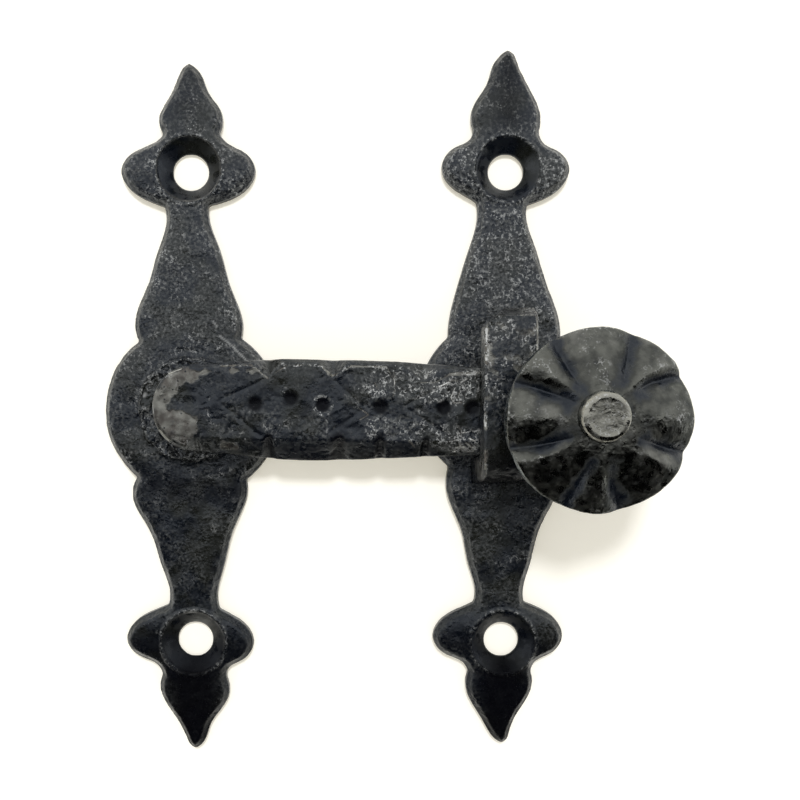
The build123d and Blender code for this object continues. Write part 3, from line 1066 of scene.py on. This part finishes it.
# Bright curls where the bar's crumbled face rubs, in the same measure
BRIGHT_CURLS = [
    ((41.9, 3.1), (41.3, 1.5), 0.14, 1.0),
    ((41.3, 1.5), (41.9, 0.7), 0.14, 1.0),
    ((41.9, 0.7), (42.9, 0.8), 0.14, 0.9),
    ((42.8, 2.8), (42.4, 1.6), 0.12, 0.9),
    ((39.3, 3.2), (41.0, 4.0), 0.18, 0.9),
    ((41.2, 4.3), (42.3, 4.3), 0.16, 1.0),
    ((42.8, 4.0), (43.8, 4.6), 0.16, 0.9),
    ((43.6, 5.2), (45.2, 5.3), 0.16, 0.9),
    ((41.2, -5.4), (42.6, -5.1), 0.18, 1.0),
    ((42.6, -5.1), (43.0, -6.2), 0.18, 1.0),
    ((41.8, -6.6), (43.6, -6.4), 0.22, 1.0),
    ((43.8, -5.6), (44.8, -6.4), 0.20, 1.0),
    ((43.4, -6.9), (45.0, -7.0), 0.22, 1.0),
    ((42.2, -7.2), (42.9, -6.8), 0.20, 1.0),
    ((44.3, -4.8), (45.2, -5.2), 0.16, 0.9),
    ((42.4, -2.9), (43.1, -3.6), 0.12, 0.9),
    ((42.7, -4.0), (43.7, -3.9), 0.12, 0.9),
    ((34.8, -5.3), (35.8, -6.5), 0.12, 0.9),
    ((36.6, -6.6), (37.9, -6.1), 0.12, 0.9),
    ((37.2, -5.2), (38.2, -4.6), 0.10, 0.8),
    ((32.2, 5.4), (32.4, 3.4), 0.12, 0.9),
    ((32.5, 3.0), (32.2, 1.6), 0.10, 0.8),
    ((29.2, 3.8), (29.8, 2.6), 0.10, 0.8),
    ((26.6, -0.2), (28.3, -1.3), 0.10, 0.85),
    ((27.0, -2.2), (28.2, -1.5), 0.10, 0.8),
]

# The thin bright arris round the bar's end, in the same measure
END_ARRIS = [
    ((-1.2, 5.4), (-3.6, 4.45), 0.12, 0.95),
    ((-3.6, 4.45), (-5.45, 2.65), 0.14, 1.0),
    ((-5.45, 2.65), (-5.95, 0.6), 0.14, 1.0),
    ((-5.95, 0.6), (-5.65, -1.8), 0.12, 0.95),
    ((-5.65, -1.8), (-5.05, -3.8), 0.10, 0.85),
    ((-5.05, -3.8), (-3.4, -5.6), 0.10, 0.85),
]

# The notches in the bar's lower edge, which get painted shade, in the same measure
LOWER_NOTCHES = [
    ((12.5, -5.4), (12.5, -8.2), 0.9, 0.9),
    ((23.6, -5.4), (23.6, -8.2), 1.2, 0.9),
    ((30.2, -5.4), (30.2, -8.2), 0.9, 0.9),
    ((37.5, -5.4), (37.5, -8.2), 0.9, 0.9),
]

# The punched dots in the bar's face, in the same measure
DOTS = [(10.4, 0.0), (16.1, 1.0), (21.1, 0.0), (30.2, -0.1), (40.2, -0.1), (44.8, 0.0)]

# Crumbled stretches of the face, where flecks of bare iron lie close together
FLECKED_STROKES = [
    ((30.0, 4.0), (42.0, 3.0), 2.5, 1.0),
    ((39.5, 2.5), (45.6, 5.2), 1.4, 1.7),
    ((44.0, 2.6), (45.2, 3.2), 1.2, 1.7),
    ((42.0, -5.4), (45.8, -5.2), 1.7, 2.1),
    ((30.0, -3.5), (40.0, -4.5), 2.0, 0.7),
    ((13.0, -3.0), (22.0, -4.0), 1.5, 0.2),
    ((4.0, -4.0), (9.0, -4.6), 0.8, 0.6),
]


def bar_places(skin):
    """Each point's place along the bar from its pivot, and across it, in millimetres."""
    from_pivot = skin.flat() - centre_of("pivot_rivet")
    along = np.array([np.cos(BAR_DROOP), -np.sin(BAR_DROOP)])
    across = np.array([np.sin(BAR_DROOP), np.cos(BAR_DROOP)])
    return np.stack([from_pivot @ along, from_pivot @ across], axis=1)


def in_dots(places):
    """One inside the punched dots and zero outside them, with a smooth step at their rims."""
    away = nearest_distance(places, DOTS)
    return 1.0 - smooth_step(DOT_RADIUS - 0.45, DOT_RADIUS + 0.45, away)


def shaded_bevel(places):
    """Painted shade on the bar's lower bevel, which faces down: even along its middle, and more in its
    notches.
    """
    along, across = places.T
    stretch = smooth_step(8.0, 12.0, along) * (1.0 - smooth_step(39.0, 41.0, along))
    bevel = 0.45 * stretch * (1.0 - smooth_step(-7.6, -5.6, across))
    return np.maximum(bevel, strokes(places, LOWER_NOTCHES, 1.2))


class LATCH_OT_bar(Operator):
    """Make the chiselled bar"""

    bl_idname = "latch.bar"
    bl_label = "Bar"

    def execute(self, context):
        piece = even_copy("latch_bar", FINE_SHARE * context.scene.latch_forging.skin_step)
        skin = Skin(piece.data)
        skin.smooth(14)
        skin.write()
        places = bar_places(skin)
        front = skin.facing(-0.2, 0.6)
        rubbed = strokes(places, RUBBED_STROKES, 2.0)
        self.fill_chisel_lines(skin, places)
        self.hammer(skin, places, front * (1.0 - 0.8 * rubbed))
        self.mark_wear_and_painted_light(skin, places, front, rubbed)
        dress(piece, "latch_bar", "bar", "bar_iron")
        return {"FINISHED"}

    def fill_chisel_lines(self, skin, places):
        """Raises the bottoms of the chisel lines by half, and those of the dots by 0.35."""
        deep = front_of("latch_bar") - skin.out()
        inner = (deep < LINE_DEPTH) & (np.abs(places[:, 1]) < LINED_HALF)
        filled = np.where(in_dots(places) < 0.1, 0.5, 0.35)
        skin.points[:, 1] -= np.where(inner, filled * deep, 0.0)

    def hammer(self, skin, places, rough):
        """Sinks blows and pits into the skin, as deep as it is rough."""
        blows = hammer_blows(places, BAR_BLOW_SPACING, 301)
        pits = scale_pits(skin.points, BAR_PIT_SIZE, 310)
        skin.sink(rough * (BAR_BLOW_DEPTH * blows + BAR_PIT_DEPTH * pits))
        skin.keep_in("latch_bar")
        skin.write()

    def mark_wear_and_painted_light(self, skin, places, front, rubbed):
        """Stores where the bar is rubbed and worn to bare iron, and where it gets painted shade."""
        high = smooth_step(0.02, 0.12, skin.raised(6))
        flecked = strokes(places, FLECKED_STROKES, 1.5)
        arris = strokes(places, ARRIS_STROKES, 0.35)
        curled = strokes(places, BRIGHT_CURLS, 0.2)
        end_arris = strokes(places, END_ARRIS, 0.25)
        ring = np.linalg.norm(places - DOTS[2], axis=1) - DOT_RADIUS - 0.2
        ring = np.exp(-((ring / 0.3) ** 2))
        bevel = shaded_bevel(places)
        # Painted shade: the lower bevel is kept from rub and wear, so it stays dark
        unshaded = front * (1.0 - 0.9 * bevel)
        skin.mark("rub_and_light", unshaded * (0.07 + 0.22 * high + 0.34 * flecked + 0.5 * arris + 0.55 * ring))
        worn = [rubbed, 0.50 * high, 0.80 * arris, 1.15 * curled, 1.1 * end_arris]
        skin.mark("worn", unshaded * np.maximum.reduce(worn))
        # Painted shade in the punched dots, less at the third dot's bright rim, and on the lower bevel
        dots = front * in_dots(places) * (1.0 - 0.8 * ring)
        skin.mark("painted_shade", 0.9 * np.maximum(dots, bevel))


# Hook


# The hook's hammer blows and pits, in millimetres
HOOK_BLOW_SPACING = 4.0
HOOK_BLOW_DEPTH = 0.15
HOOK_PIT_SIZE = 1.4
HOOK_PIT_DEPTH = 0.10

# The hook's arrises that are rubbed bright, sideways and up: from, to, half-width and strength
HOOK_STROKES = [
    ((20.8, 12.2), (20.7, 3.8), 0.35, 1.0),
    ((20.7, 0.8), (20.7, -3.0), 0.30, 0.95),
    ((20.9, -6.0), (21.0, -11.6), 0.30, 0.75),
    ((20.9, 12.8), (23.6, 15.4), 0.20, 0.70),
    ((24.0, 14.3), (28.4, 14.3), 0.22, 0.95),
    ((28.5, 14.5), (28.5, 9.0), 0.20, 0.95),
    ((23.8, 15.7), (28.6, 15.7), 0.22, 0.8),
]


class LATCH_OT_hook(Operator):
    """Make the open hook"""

    bl_idname = "latch.hook"
    bl_label = "Hook"

    def execute(self, context):
        piece = even_copy("keeper_hook", FINE_SHARE * context.scene.latch_forging.skin_step)
        skin = Skin(piece.data)
        skin.smooth(3)
        skin.write()
        self.hammer(skin)
        self.mark_wear_and_painted_light(skin)
        dress(piece, "keeper_hook", "root", "bar_iron")
        return {"FINISHED"}

    def hammer(self, skin):
        """Sinks blows and pits into the skin, except where it passes through the plate."""
        blows = hammer_blows(skin.flat(), HOOK_BLOW_SPACING, 401)
        pits = scale_pits(skin.points, HOOK_PIT_SIZE, 410)
        clear = smooth_step(PLATE_FRONT + 0.1, PLATE_FRONT + 0.6, skin.out())
        skin.sink(clear * (HOOK_BLOW_DEPTH * blows + HOOK_PIT_DEPTH * pits))
        skin.keep_in("keeper_hook")
        skin.write()

    def mark_wear_and_painted_light(self, skin):
        """Stores where the hook is rubbed and worn to bare iron, with painted light and painted shade."""
        up = skin.flat()[:, 1]
        high = smooth_step(0.03, 0.14, skin.raised(6))
        # Painted light: the upper part is marked more rubbed and worn, so it shows lighter
        upper = smooth_step(-3.0, 2.0, up)
        # Painted shade on the lower part, below the bar
        low = 1.0 - smooth_step(-12.0, -2.0, up)
        uneven = np.clip(0.72 + 0.8 * rough_noise(skin.points, 1.1, 420), 0.25, 1.0)
        bright = strokes(skin.flat(), HOOK_STROKES, 0.4) * skin.facing(0.2, 0.7) * uneven
        # Painted shade on the upward end face at the hook's top, inside its bright arrises
        end = smooth_step(0.3, 0.6, skin.normals[:, 2]) * smooth_step(10.0, 13.0, up)
        end = end * (1.0 - bright)
        skin.mark("rub_and_light", 0.05 + 0.12 * high + 0.16 * upper + 0.5 * bright)
        skin.mark("worn", (1.0 - end) * np.maximum.reduce([0.60 * high, 0.36 * upper, 0.95 * bright]))
        skin.mark("painted_shade", np.maximum(0.5 * end, 0.8 * low * (1.0 - bright)))


# Rivet and stud


# Radii of the rivet's shank, of the stud in front of the bar, of its tenon, and of its button
RIVET_RADIUS = 2.5
STUD_RADIUS = 4.0
TENON_RADIUS = 2.3
BUTTON_RADIUS = 3.6

# How far the tenon splays in the bar's back, and the depths of the pits
TENON_SPLAY = 0.8
RIVET_PIT_DEPTH = 0.05
STUD_PIT_DEPTH = 0.12


class LATCH_OT_rivets(Operator):
    """Make the pivot rivet and the knob's stud with its button"""

    bl_idname = "latch.rivets"
    bl_label = "Rivet and stud"

    def execute(self, context):
        self.make_rivet()
        self.make_stud()
        return {"FINISHED"}

    def make_rivet(self):
        """The rivet's half-section turned round its axis: a splayed head and a plain shank."""
        front = front_of("pivot_rivet")
        head = half_width("pivot_rivet")
        profile = [
            (0, 0),
            (head, 0),
            (RIVET_RADIUS, head - RIVET_RADIUS),
            (RIVET_RADIUS, front),
            (0, front),
        ]
        piece = turned_piece("pivot_rivet", profile, step=0.3, around=64)
        skin = Skin(piece.data)
        skin.sink(RIVET_PIT_DEPTH * scale_pits(skin.points, 1.0, 620))
        skin.write()
        skin.mark("rub_and_light", np.full(len(skin.points), 0.25))
        dress(piece, "pivot_rivet", "bar", "bar_iron")

    def make_stud(self):
        """The stud's half-section turned round its axis, with a softly dished button."""
        back = back_of("knob_stud")
        front = front_of("knob_stud")
        crown = front_of("flower_knob")
        knob_back = back_of("flower_knob")
        bar_front = front_of("latch_bar")
        profile = [
            (0, back),
            (TENON_RADIUS + TENON_SPLAY, back),
            (TENON_RADIUS, back + TENON_SPLAY),
            (TENON_RADIUS, bar_front),
            (STUD_RADIUS, bar_front),
            (STUD_RADIUS, knob_back),
            (TENON_RADIUS, knob_back),
            (TENON_RADIUS, crown),
            (BUTTON_RADIUS + 0.1, crown),
            (BUTTON_RADIUS, crown + 0.4),
            (BUTTON_RADIUS - 0.05, front - 0.7),
            (BUTTON_RADIUS - 0.3, front - 0.2),
            (BUTTON_RADIUS - 0.8, front),
            (BUTTON_RADIUS - 1.3, front - 0.08),
            (0, front - 0.25),
        ]
        piece = turned_piece("knob_stud", profile, step=0.2, around=96)
        skin = Skin(piece.data)
        skin.smooth(2)
        skin.sink(STUD_PIT_DEPTH * scale_pits(skin.points, 2.4, 610))
        skin.keep_in("knob_stud")
        skin.write()
        button = smooth_step(crown, crown + 0.6, skin.out())
        radius = np.linalg.norm(skin.flat() - centre_of("knob_stud"), axis=1)
        skin.mark("rub_and_light", 0.5 + 0.5 * button)
        rim = smooth_step(BUTTON_RADIUS - 1.2, BUTTON_RADIUS - 0.3, radius)
        skin.mark("worn", button * (0.5 + 0.5 * rim))
        dress(piece, "knob_stud", "bar", "knob_iron")


# Knob


# The furrows and the crests between them, counted round from the right: each one's bearing in
# degrees near the button and at the rim
FURROWS = [(-26, -20), (46, 28), (65, 70), (126, 120), (149, 156), (206, 197), (252, 249), (278, 284)]
CRESTS = [(2, 1), (56, 38), (95, 95), (137, 138), (177, 177), (216, 208), (264, 267), (318, 327)]

# The radii between which the bearings change, and the radius of the flat under the button
FURROW_START = 5.0
KNOB_REACH = 13.35
FLAT_RADIUS = 3.6

# The rim's thickness, how far its corners lie inside its arcs, and the back's share of its radius
RIM_THICKNESS = 3.0
RIM_SCALLOP = 0.18
BACK_SHARE = 0.985

# The widths of a furrow's bell in the shape and in the colour, the rounding of the crests as a
# share of half a petal, and the depth of the pits
FURROW_WIDTH = 1.0
FURROW_TONE_WIDTH = 1.3
CREST_ROUND = 0.2
KNOB_PIT_DEPTH = 0.07


class LATCH_OT_knob(Operator):
    """Make the flower knob"""

    bl_idname = "latch.knob"
    bl_label = "Flower knob"

    def execute(self, context):
        piece = link("flower_knob_iron", self.flower(context.scene.latch_forging))
        skin = Skin(piece.data)
        skin.smooth(6)
        skin.sink(KNOB_PIT_DEPTH * scale_pits(skin.points, 1.6, 510))
        skin.keep_in("flower_knob")
        skin.write()
        across, up = (skin.flat() - centre_of("flower_knob")).T
        radius = np.hypot(across, up)
        side, nearest = self.petal_places(radius, np.arctan2(up, across))
        furrow = np.exp(-((nearest / FURROW_TONE_WIDTH) ** 2))
        furrow = furrow * smooth_step(FURROW_START - 1.0, FURROW_START + 1.0, radius)
        high = smooth_step(0.0, 0.10, skin.raised(8))
        skin.mark("rub_and_light", 0.70 - 0.16 * side - 0.46 * furrow + 0.35 * high)
        dress(piece, "flower_knob", "bar", "knob_iron")
        return {"FINISHED"}

    def petal_places(self, radius, angle):
        """Where points lie between the furrows.

        Each furrow and each crest runs straight from its bearing near the button to its
        bearing at the rim. The first value rises evenly from zero at a crest to one at the
        furrow on either side. The second is the distance to the nearest furrow in millimetres.
        """
        out = np.clip((radius - FURROW_START) / (KNOB_REACH - FURROW_START), 0.0, 1.0)
        side = np.zeros(np.broadcast(radius, angle).shape)
        nearest = np.zeros_like(side)
        for begin, top, end in zip(FURROWS, CRESTS, FURROWS[1:] + FURROWS[:1]):
            begin, top, end = (np.radians(near + (rim - near) * out) for near, rim in (begin, top, end))
            past = (angle - begin) % tau
            rise = (top - begin) % tau
            width = (end - begin) % tau
            slope = np.where(past < rise, 1.0 - past / rise, (past - rise) / (width - rise))
            here = past < width
            side = np.where(here, slope, side)
            gap = np.minimum(np.minimum(past, width - past), radians(90))
            nearest = np.where(here, radius * np.sin(gap), nearest)
        return side, nearest

    def flower(self, settings):
        """A domed disc whose front is chased into petals.

        The front falls from the crown to the rim by 0.3 of the share of the way out and 0.7 of
        that share to the power 2.4. Each petal falls from its crest to its sides by the petal
        fold: 0.75 of it follows a rounded ridge, and 0.25 the fourth power. A furrow with a
        bell-shaped section lies between each two, and the rim is a ring of equal arcs.
        """
        rim = half_width("flower_knob")
        crown = front_of("flower_knob")
        back = back_of("flower_knob")
        around = 400
        rows, side_rows, back_rows = 96, 12, 24
        angle = np.linspace(0.0, tau, around, endpoint=False)
        edge = rim * self.scallop(angle, rim)
        radius = np.linspace(0.0, 1.0, rows)[:, None] * edge
        out = np.clip((radius - FLAT_RADIUS) / (rim - FLAT_RADIUS), 0.0, 1.0)
        side, nearest = self.petal_places(radius, angle)
        fall = (crown - back - RIM_THICKNESS) * (0.30 * out + 0.70 * out**2.4)
        rounded = np.hypot(side, CREST_ROUND) - CREST_ROUND
        fold = settings.petal_fold / MM * (0.75 * rounded + 0.25 * side**4) * smooth_step(0.05, 0.6, out)
        furrow = np.exp(-((nearest / FURROW_WIDTH) ** 2)) * smooth_step(0.2, 0.5, out)
        front = crown - fall - fold - settings.furrow_depth / MM * furrow
        down = np.linspace(0.0, 1.0, side_rows + 2)[1:-1, None]
        side_radius = edge * (BACK_SHARE + (1.0 - BACK_SHARE) * np.sin(down * np.pi))
        side_front = front[-1] + (back - front[-1]) * down
        inward = np.linspace(BACK_SHARE, 0.0, back_rows)[:, None] * edge
        radius = np.vstack([radius, side_radius, inward])
        front = np.vstack([front, side_front, np.full_like(inward, back)])
        points = round_axis(radius, front, angle, centre_of("flower_knob"))
        return grid_mesh("flower_knob_iron", points, around)

    def scallop(self, angle, rim):
        """The rim's radius as a share of its largest: arcs that meet in shallow corners."""
        half = np.pi / len(CRESTS)
        turn = (angle + half) % (2 * half) - half
        valley = rim - RIM_SCALLOP
        chord = valley * np.sin(half)
        sagitta = rim - valley * np.cos(half)
        arc = (chord**2 + sagitta**2) / (2 * sagitta)
        offset = rim - arc
        return (offset * np.cos(turn) + np.sqrt(arc**2 - (offset * np.sin(turn)) ** 2)) / rim


# Stage


# Places of the lamps and the sides of their squares, in metres
KEY_LAMP_PLACE = (0.0, -0.72, 0.36)
KEY_LAMP_SIDE = 0.12
BACK_LAMP_PLACE = (0.3, 0.7, 0.5)
BACK_LAMP_SIDE = 0.5

# The board's and the floor's reach, the board's distance behind the plates and the floor's
# height, in metres
REACH = 1.2
BEHIND = 0.0003
FLOOR_HEIGHT = -0.45

# The dark card's place along Y, its top, foot and half-width, in metres, and its near-black
CARD_FRONT = -0.30
CARD_TOP = -0.024
CARD_FOOT = -0.35
CARD_HALF = 0.8
CARD_BLACK = (0.01, 0.01, 0.01)


def soft_lamp(name, place, side, power):
    """A square soft lamp that points at the latch's middle."""
    light = bpy.data.lights.new(name, "AREA")
    light.size = side
    light.energy = power
    lamp = link(name, light)
    lamp.location = place
    lamp.rotation_euler = (Vector() - lamp.location).to_track_quat("-Z", "Y").to_euler()
    return lamp


def sheet(name, rows, half, material):
    """A sheet from side to side, bent at each of its rows of (place along Y, height)."""
    corners = [(x, y, z) for y, z in rows for x in (-half, half)]
    faces = [(left, left + 1, left + 3, left + 2) for left in range(0, len(corners) - 2, 2)]
    mesh = bpy.data.meshes.new(name)
    mesh.from_pydata(corners, [], faces)
    mesh.update()
    mesh.materials.append(material)
    return link(name, mesh)


def seen_rays(tree):
    """One for rays that show a thing to the camera, in the gloss or in glass, and zero for others."""
    rays = add_node(tree, "ShaderNodeLightPath", "Rays")
    seen = combine(tree, "MAXIMUM", rays.outputs["Is Camera Ray"], rays.outputs["Is Glossy Ray"], "Seen")
    return combine(tree, "MAXIMUM", seen, rays.outputs["Is Transmission Ray"], "Seen in glass too")


def board_material(settings):
    """White board: it shows plain white with the latch's soft shadow, and nothing from behind."""
    material = bpy.data.materials.new("White board")
    material.use_nodes = True
    tree = material.node_tree
    tree.nodes.clear()
    board = add_node(tree, "ShaderNodeBsdfDiffuse", "Board")
    set_input(tree, board, "Color", (*settings.board_colour, 1.0))
    glow = add_node(tree, "ShaderNodeEmission", "Plain white")
    level = combine(tree, "MULTIPLY", seen_rays(tree), settings.glow_level, "White level")
    set_input(tree, glow, "Color", (*settings.glow_colour, 1.0))
    set_input(tree, glow, "Strength", level)
    both = add_node(tree, "ShaderNodeAddShader", "Board and white")
    tree.links.new(board.outputs[0], both.inputs[0])
    tree.links.new(glow.outputs[0], both.inputs[1])
    clear = add_node(tree, "ShaderNodeBsdfTransparent", "Clear from behind")
    side = add_node(tree, "ShaderNodeNewGeometry", "Side")
    choice = add_node(tree, "ShaderNodeMixShader", "Front or back")
    tree.links.new(side.outputs["Backfacing"], choice.inputs[0])
    tree.links.new(both.outputs[0], choice.inputs[1])
    tree.links.new(clear.outputs[0], choice.inputs[2])
    output = add_node(tree, "ShaderNodeOutputMaterial", "Output")
    tree.links.new(choice.outputs[0], output.inputs["Surface"])
    return material


def matt_material(name, colour, roughness, gloss):
    """A matt surface of one colour."""
    material, _, shader = new_material(name)
    shader.inputs["Base Color"].default_value = (*colour, 1.0)
    shader.inputs["Roughness"].default_value = roughness
    shader.inputs["Specular IOR Level"].default_value = gloss
    return material


class LATCH_OT_stage(Operator):
    """Set up the camera, the lamps, the white board and the floor"""

    bl_idname = "latch.stage"
    bl_label = "Stage"

    def execute(self, context):
        settings = context.scene.latch_stage
        self.camera(context, settings)
        self.lamps(settings)
        self.board(settings)
        self.floor(settings)
        self.dark_card()
        self.sky(context, settings)
        context.scene.view_settings.view_transform = "Standard"
        return {"FINISHED"}

    def camera(self, context, settings):
        data = bpy.data.cameras.new("Camera")
        data.lens = settings.lens
        data.sensor_width = 36.0
        data.shift_x, data.shift_y = settings.camera_shift
        data.clip_start = 0.01
        camera = link("Camera", data)
        camera.location = settings.camera_place
        camera.rotation_euler = (radians(90) - settings.camera_pitch, 0.0, 0.0)
        context.scene.camera = camera

    def lamps(self, settings):
        key = soft_lamp("Key lamp", KEY_LAMP_PLACE, KEY_LAMP_SIDE, settings.key_power)
        key.visible_glossy = False
        soft_lamp("Back lamp", BACK_LAMP_PLACE, BACK_LAMP_SIDE, settings.back_power)

    def board(self, settings):
        """The white board, close behind the plates. It throws no shadow."""
        rows = [(BEHIND, FLOOR_HEIGHT), (BEHIND, REACH)]
        board = sheet("White_board", rows, REACH, board_material(settings))
        board.visible_shadow = False
        return board

    def floor(self, settings):
        """The pale floor, far below the latch."""
        rows = [(-REACH, FLOOR_HEIGHT), (REACH, FLOOR_HEIGHT)]
        pale = matt_material("Pale floor", settings.floor_colour, 0.9, 0.5)
        return sheet("Floor", rows, REACH, pale)

    def dark_card(self):
        """A black card below the latch and in front of it. It shows only in the gloss."""
        rows = [(CARD_FRONT, CARD_TOP), (CARD_FRONT, CARD_FOOT), (0.0, CARD_FOOT)]
        black = matt_material("Black card", CARD_BLACK, 1.0, 0.0)
        card = sheet("Dark_card", rows, CARD_HALF, black)
        card.visible_camera = False
        card.visible_diffuse = False
        card.visible_transmission = False
        card.visible_shadow = False
        return card

    def sky(self, context, settings):
        """Even light from all round, which shows plain white to the camera and in the gloss."""
        world = bpy.data.worlds.new("Studio")
        context.scene.world = world
        world.use_nodes = True
        tree = world.node_tree
        level = add_node(tree, "ShaderNodeMapRange", "Sky level")
        set_input(tree, level, "Value", seen_rays(tree))
        set_input(tree, level, "To Min", settings.sky_level)
        set_input(tree, level, "To Max", 1.0)
        tree.links.new(level.outputs["Result"], tree.nodes["Background"].inputs["Strength"])
        tree.nodes["Background"].inputs["Color"].default_value = (1.0, 1.0, 1.0, 1.0)


# Panel


STEPS = (
    "latch.stage",
    "latch.plates",
    "latch.bar",
    "latch.hook",
    "latch.rivets",
    "latch.knob",
)


class LATCH_PT_panel(Panel):
    """Settings and steps of the door latch"""

    bl_label = "Door latch"
    bl_idname = "LATCH_PT_panel"
    bl_space_type = "VIEW_3D"
    bl_region_type = "UI"
    bl_category = "Door latch"

    def draw(self, context):
        for group in (context.scene.latch_forging, context.scene.latch_finish, context.scene.latch_stage):
            box = self.layout.box()
            for name in group.bl_rna.properties.keys():
                if name not in ("rna_type", "name"):
                    box.prop(group, name)
        for step in STEPS:
            self.layout.operator(step)


CLASSES = (
    LatchForging,
    LatchFinish,
    LatchStage,
    LATCH_OT_stage,
    LATCH_OT_plates,
    LATCH_OT_bar,
    LATCH_OT_hook,
    LATCH_OT_rivets,
    LATCH_OT_knob,
    LATCH_PT_panel,
)


def register():
    for item in CLASSES:
        bpy.utils.register_class(item)
    bpy.types.Scene.latch_forging = PointerProperty(type=LatchForging)
    bpy.types.Scene.latch_finish = PointerProperty(type=LatchFinish)
    bpy.types.Scene.latch_stage = PointerProperty(type=LatchStage)


def unregister():
    del bpy.types.Scene.latch_stage
    del bpy.types.Scene.latch_finish
    del bpy.types.Scene.latch_forging
    for item in reversed(CLASSES):
        bpy.utils.unregister_class(item)


def main():
    register()
    for step in STEPS:
        group, name = step.split(".")
        getattr(getattr(bpy.ops, group), name)()


if __name__ == "__main__":
    main()
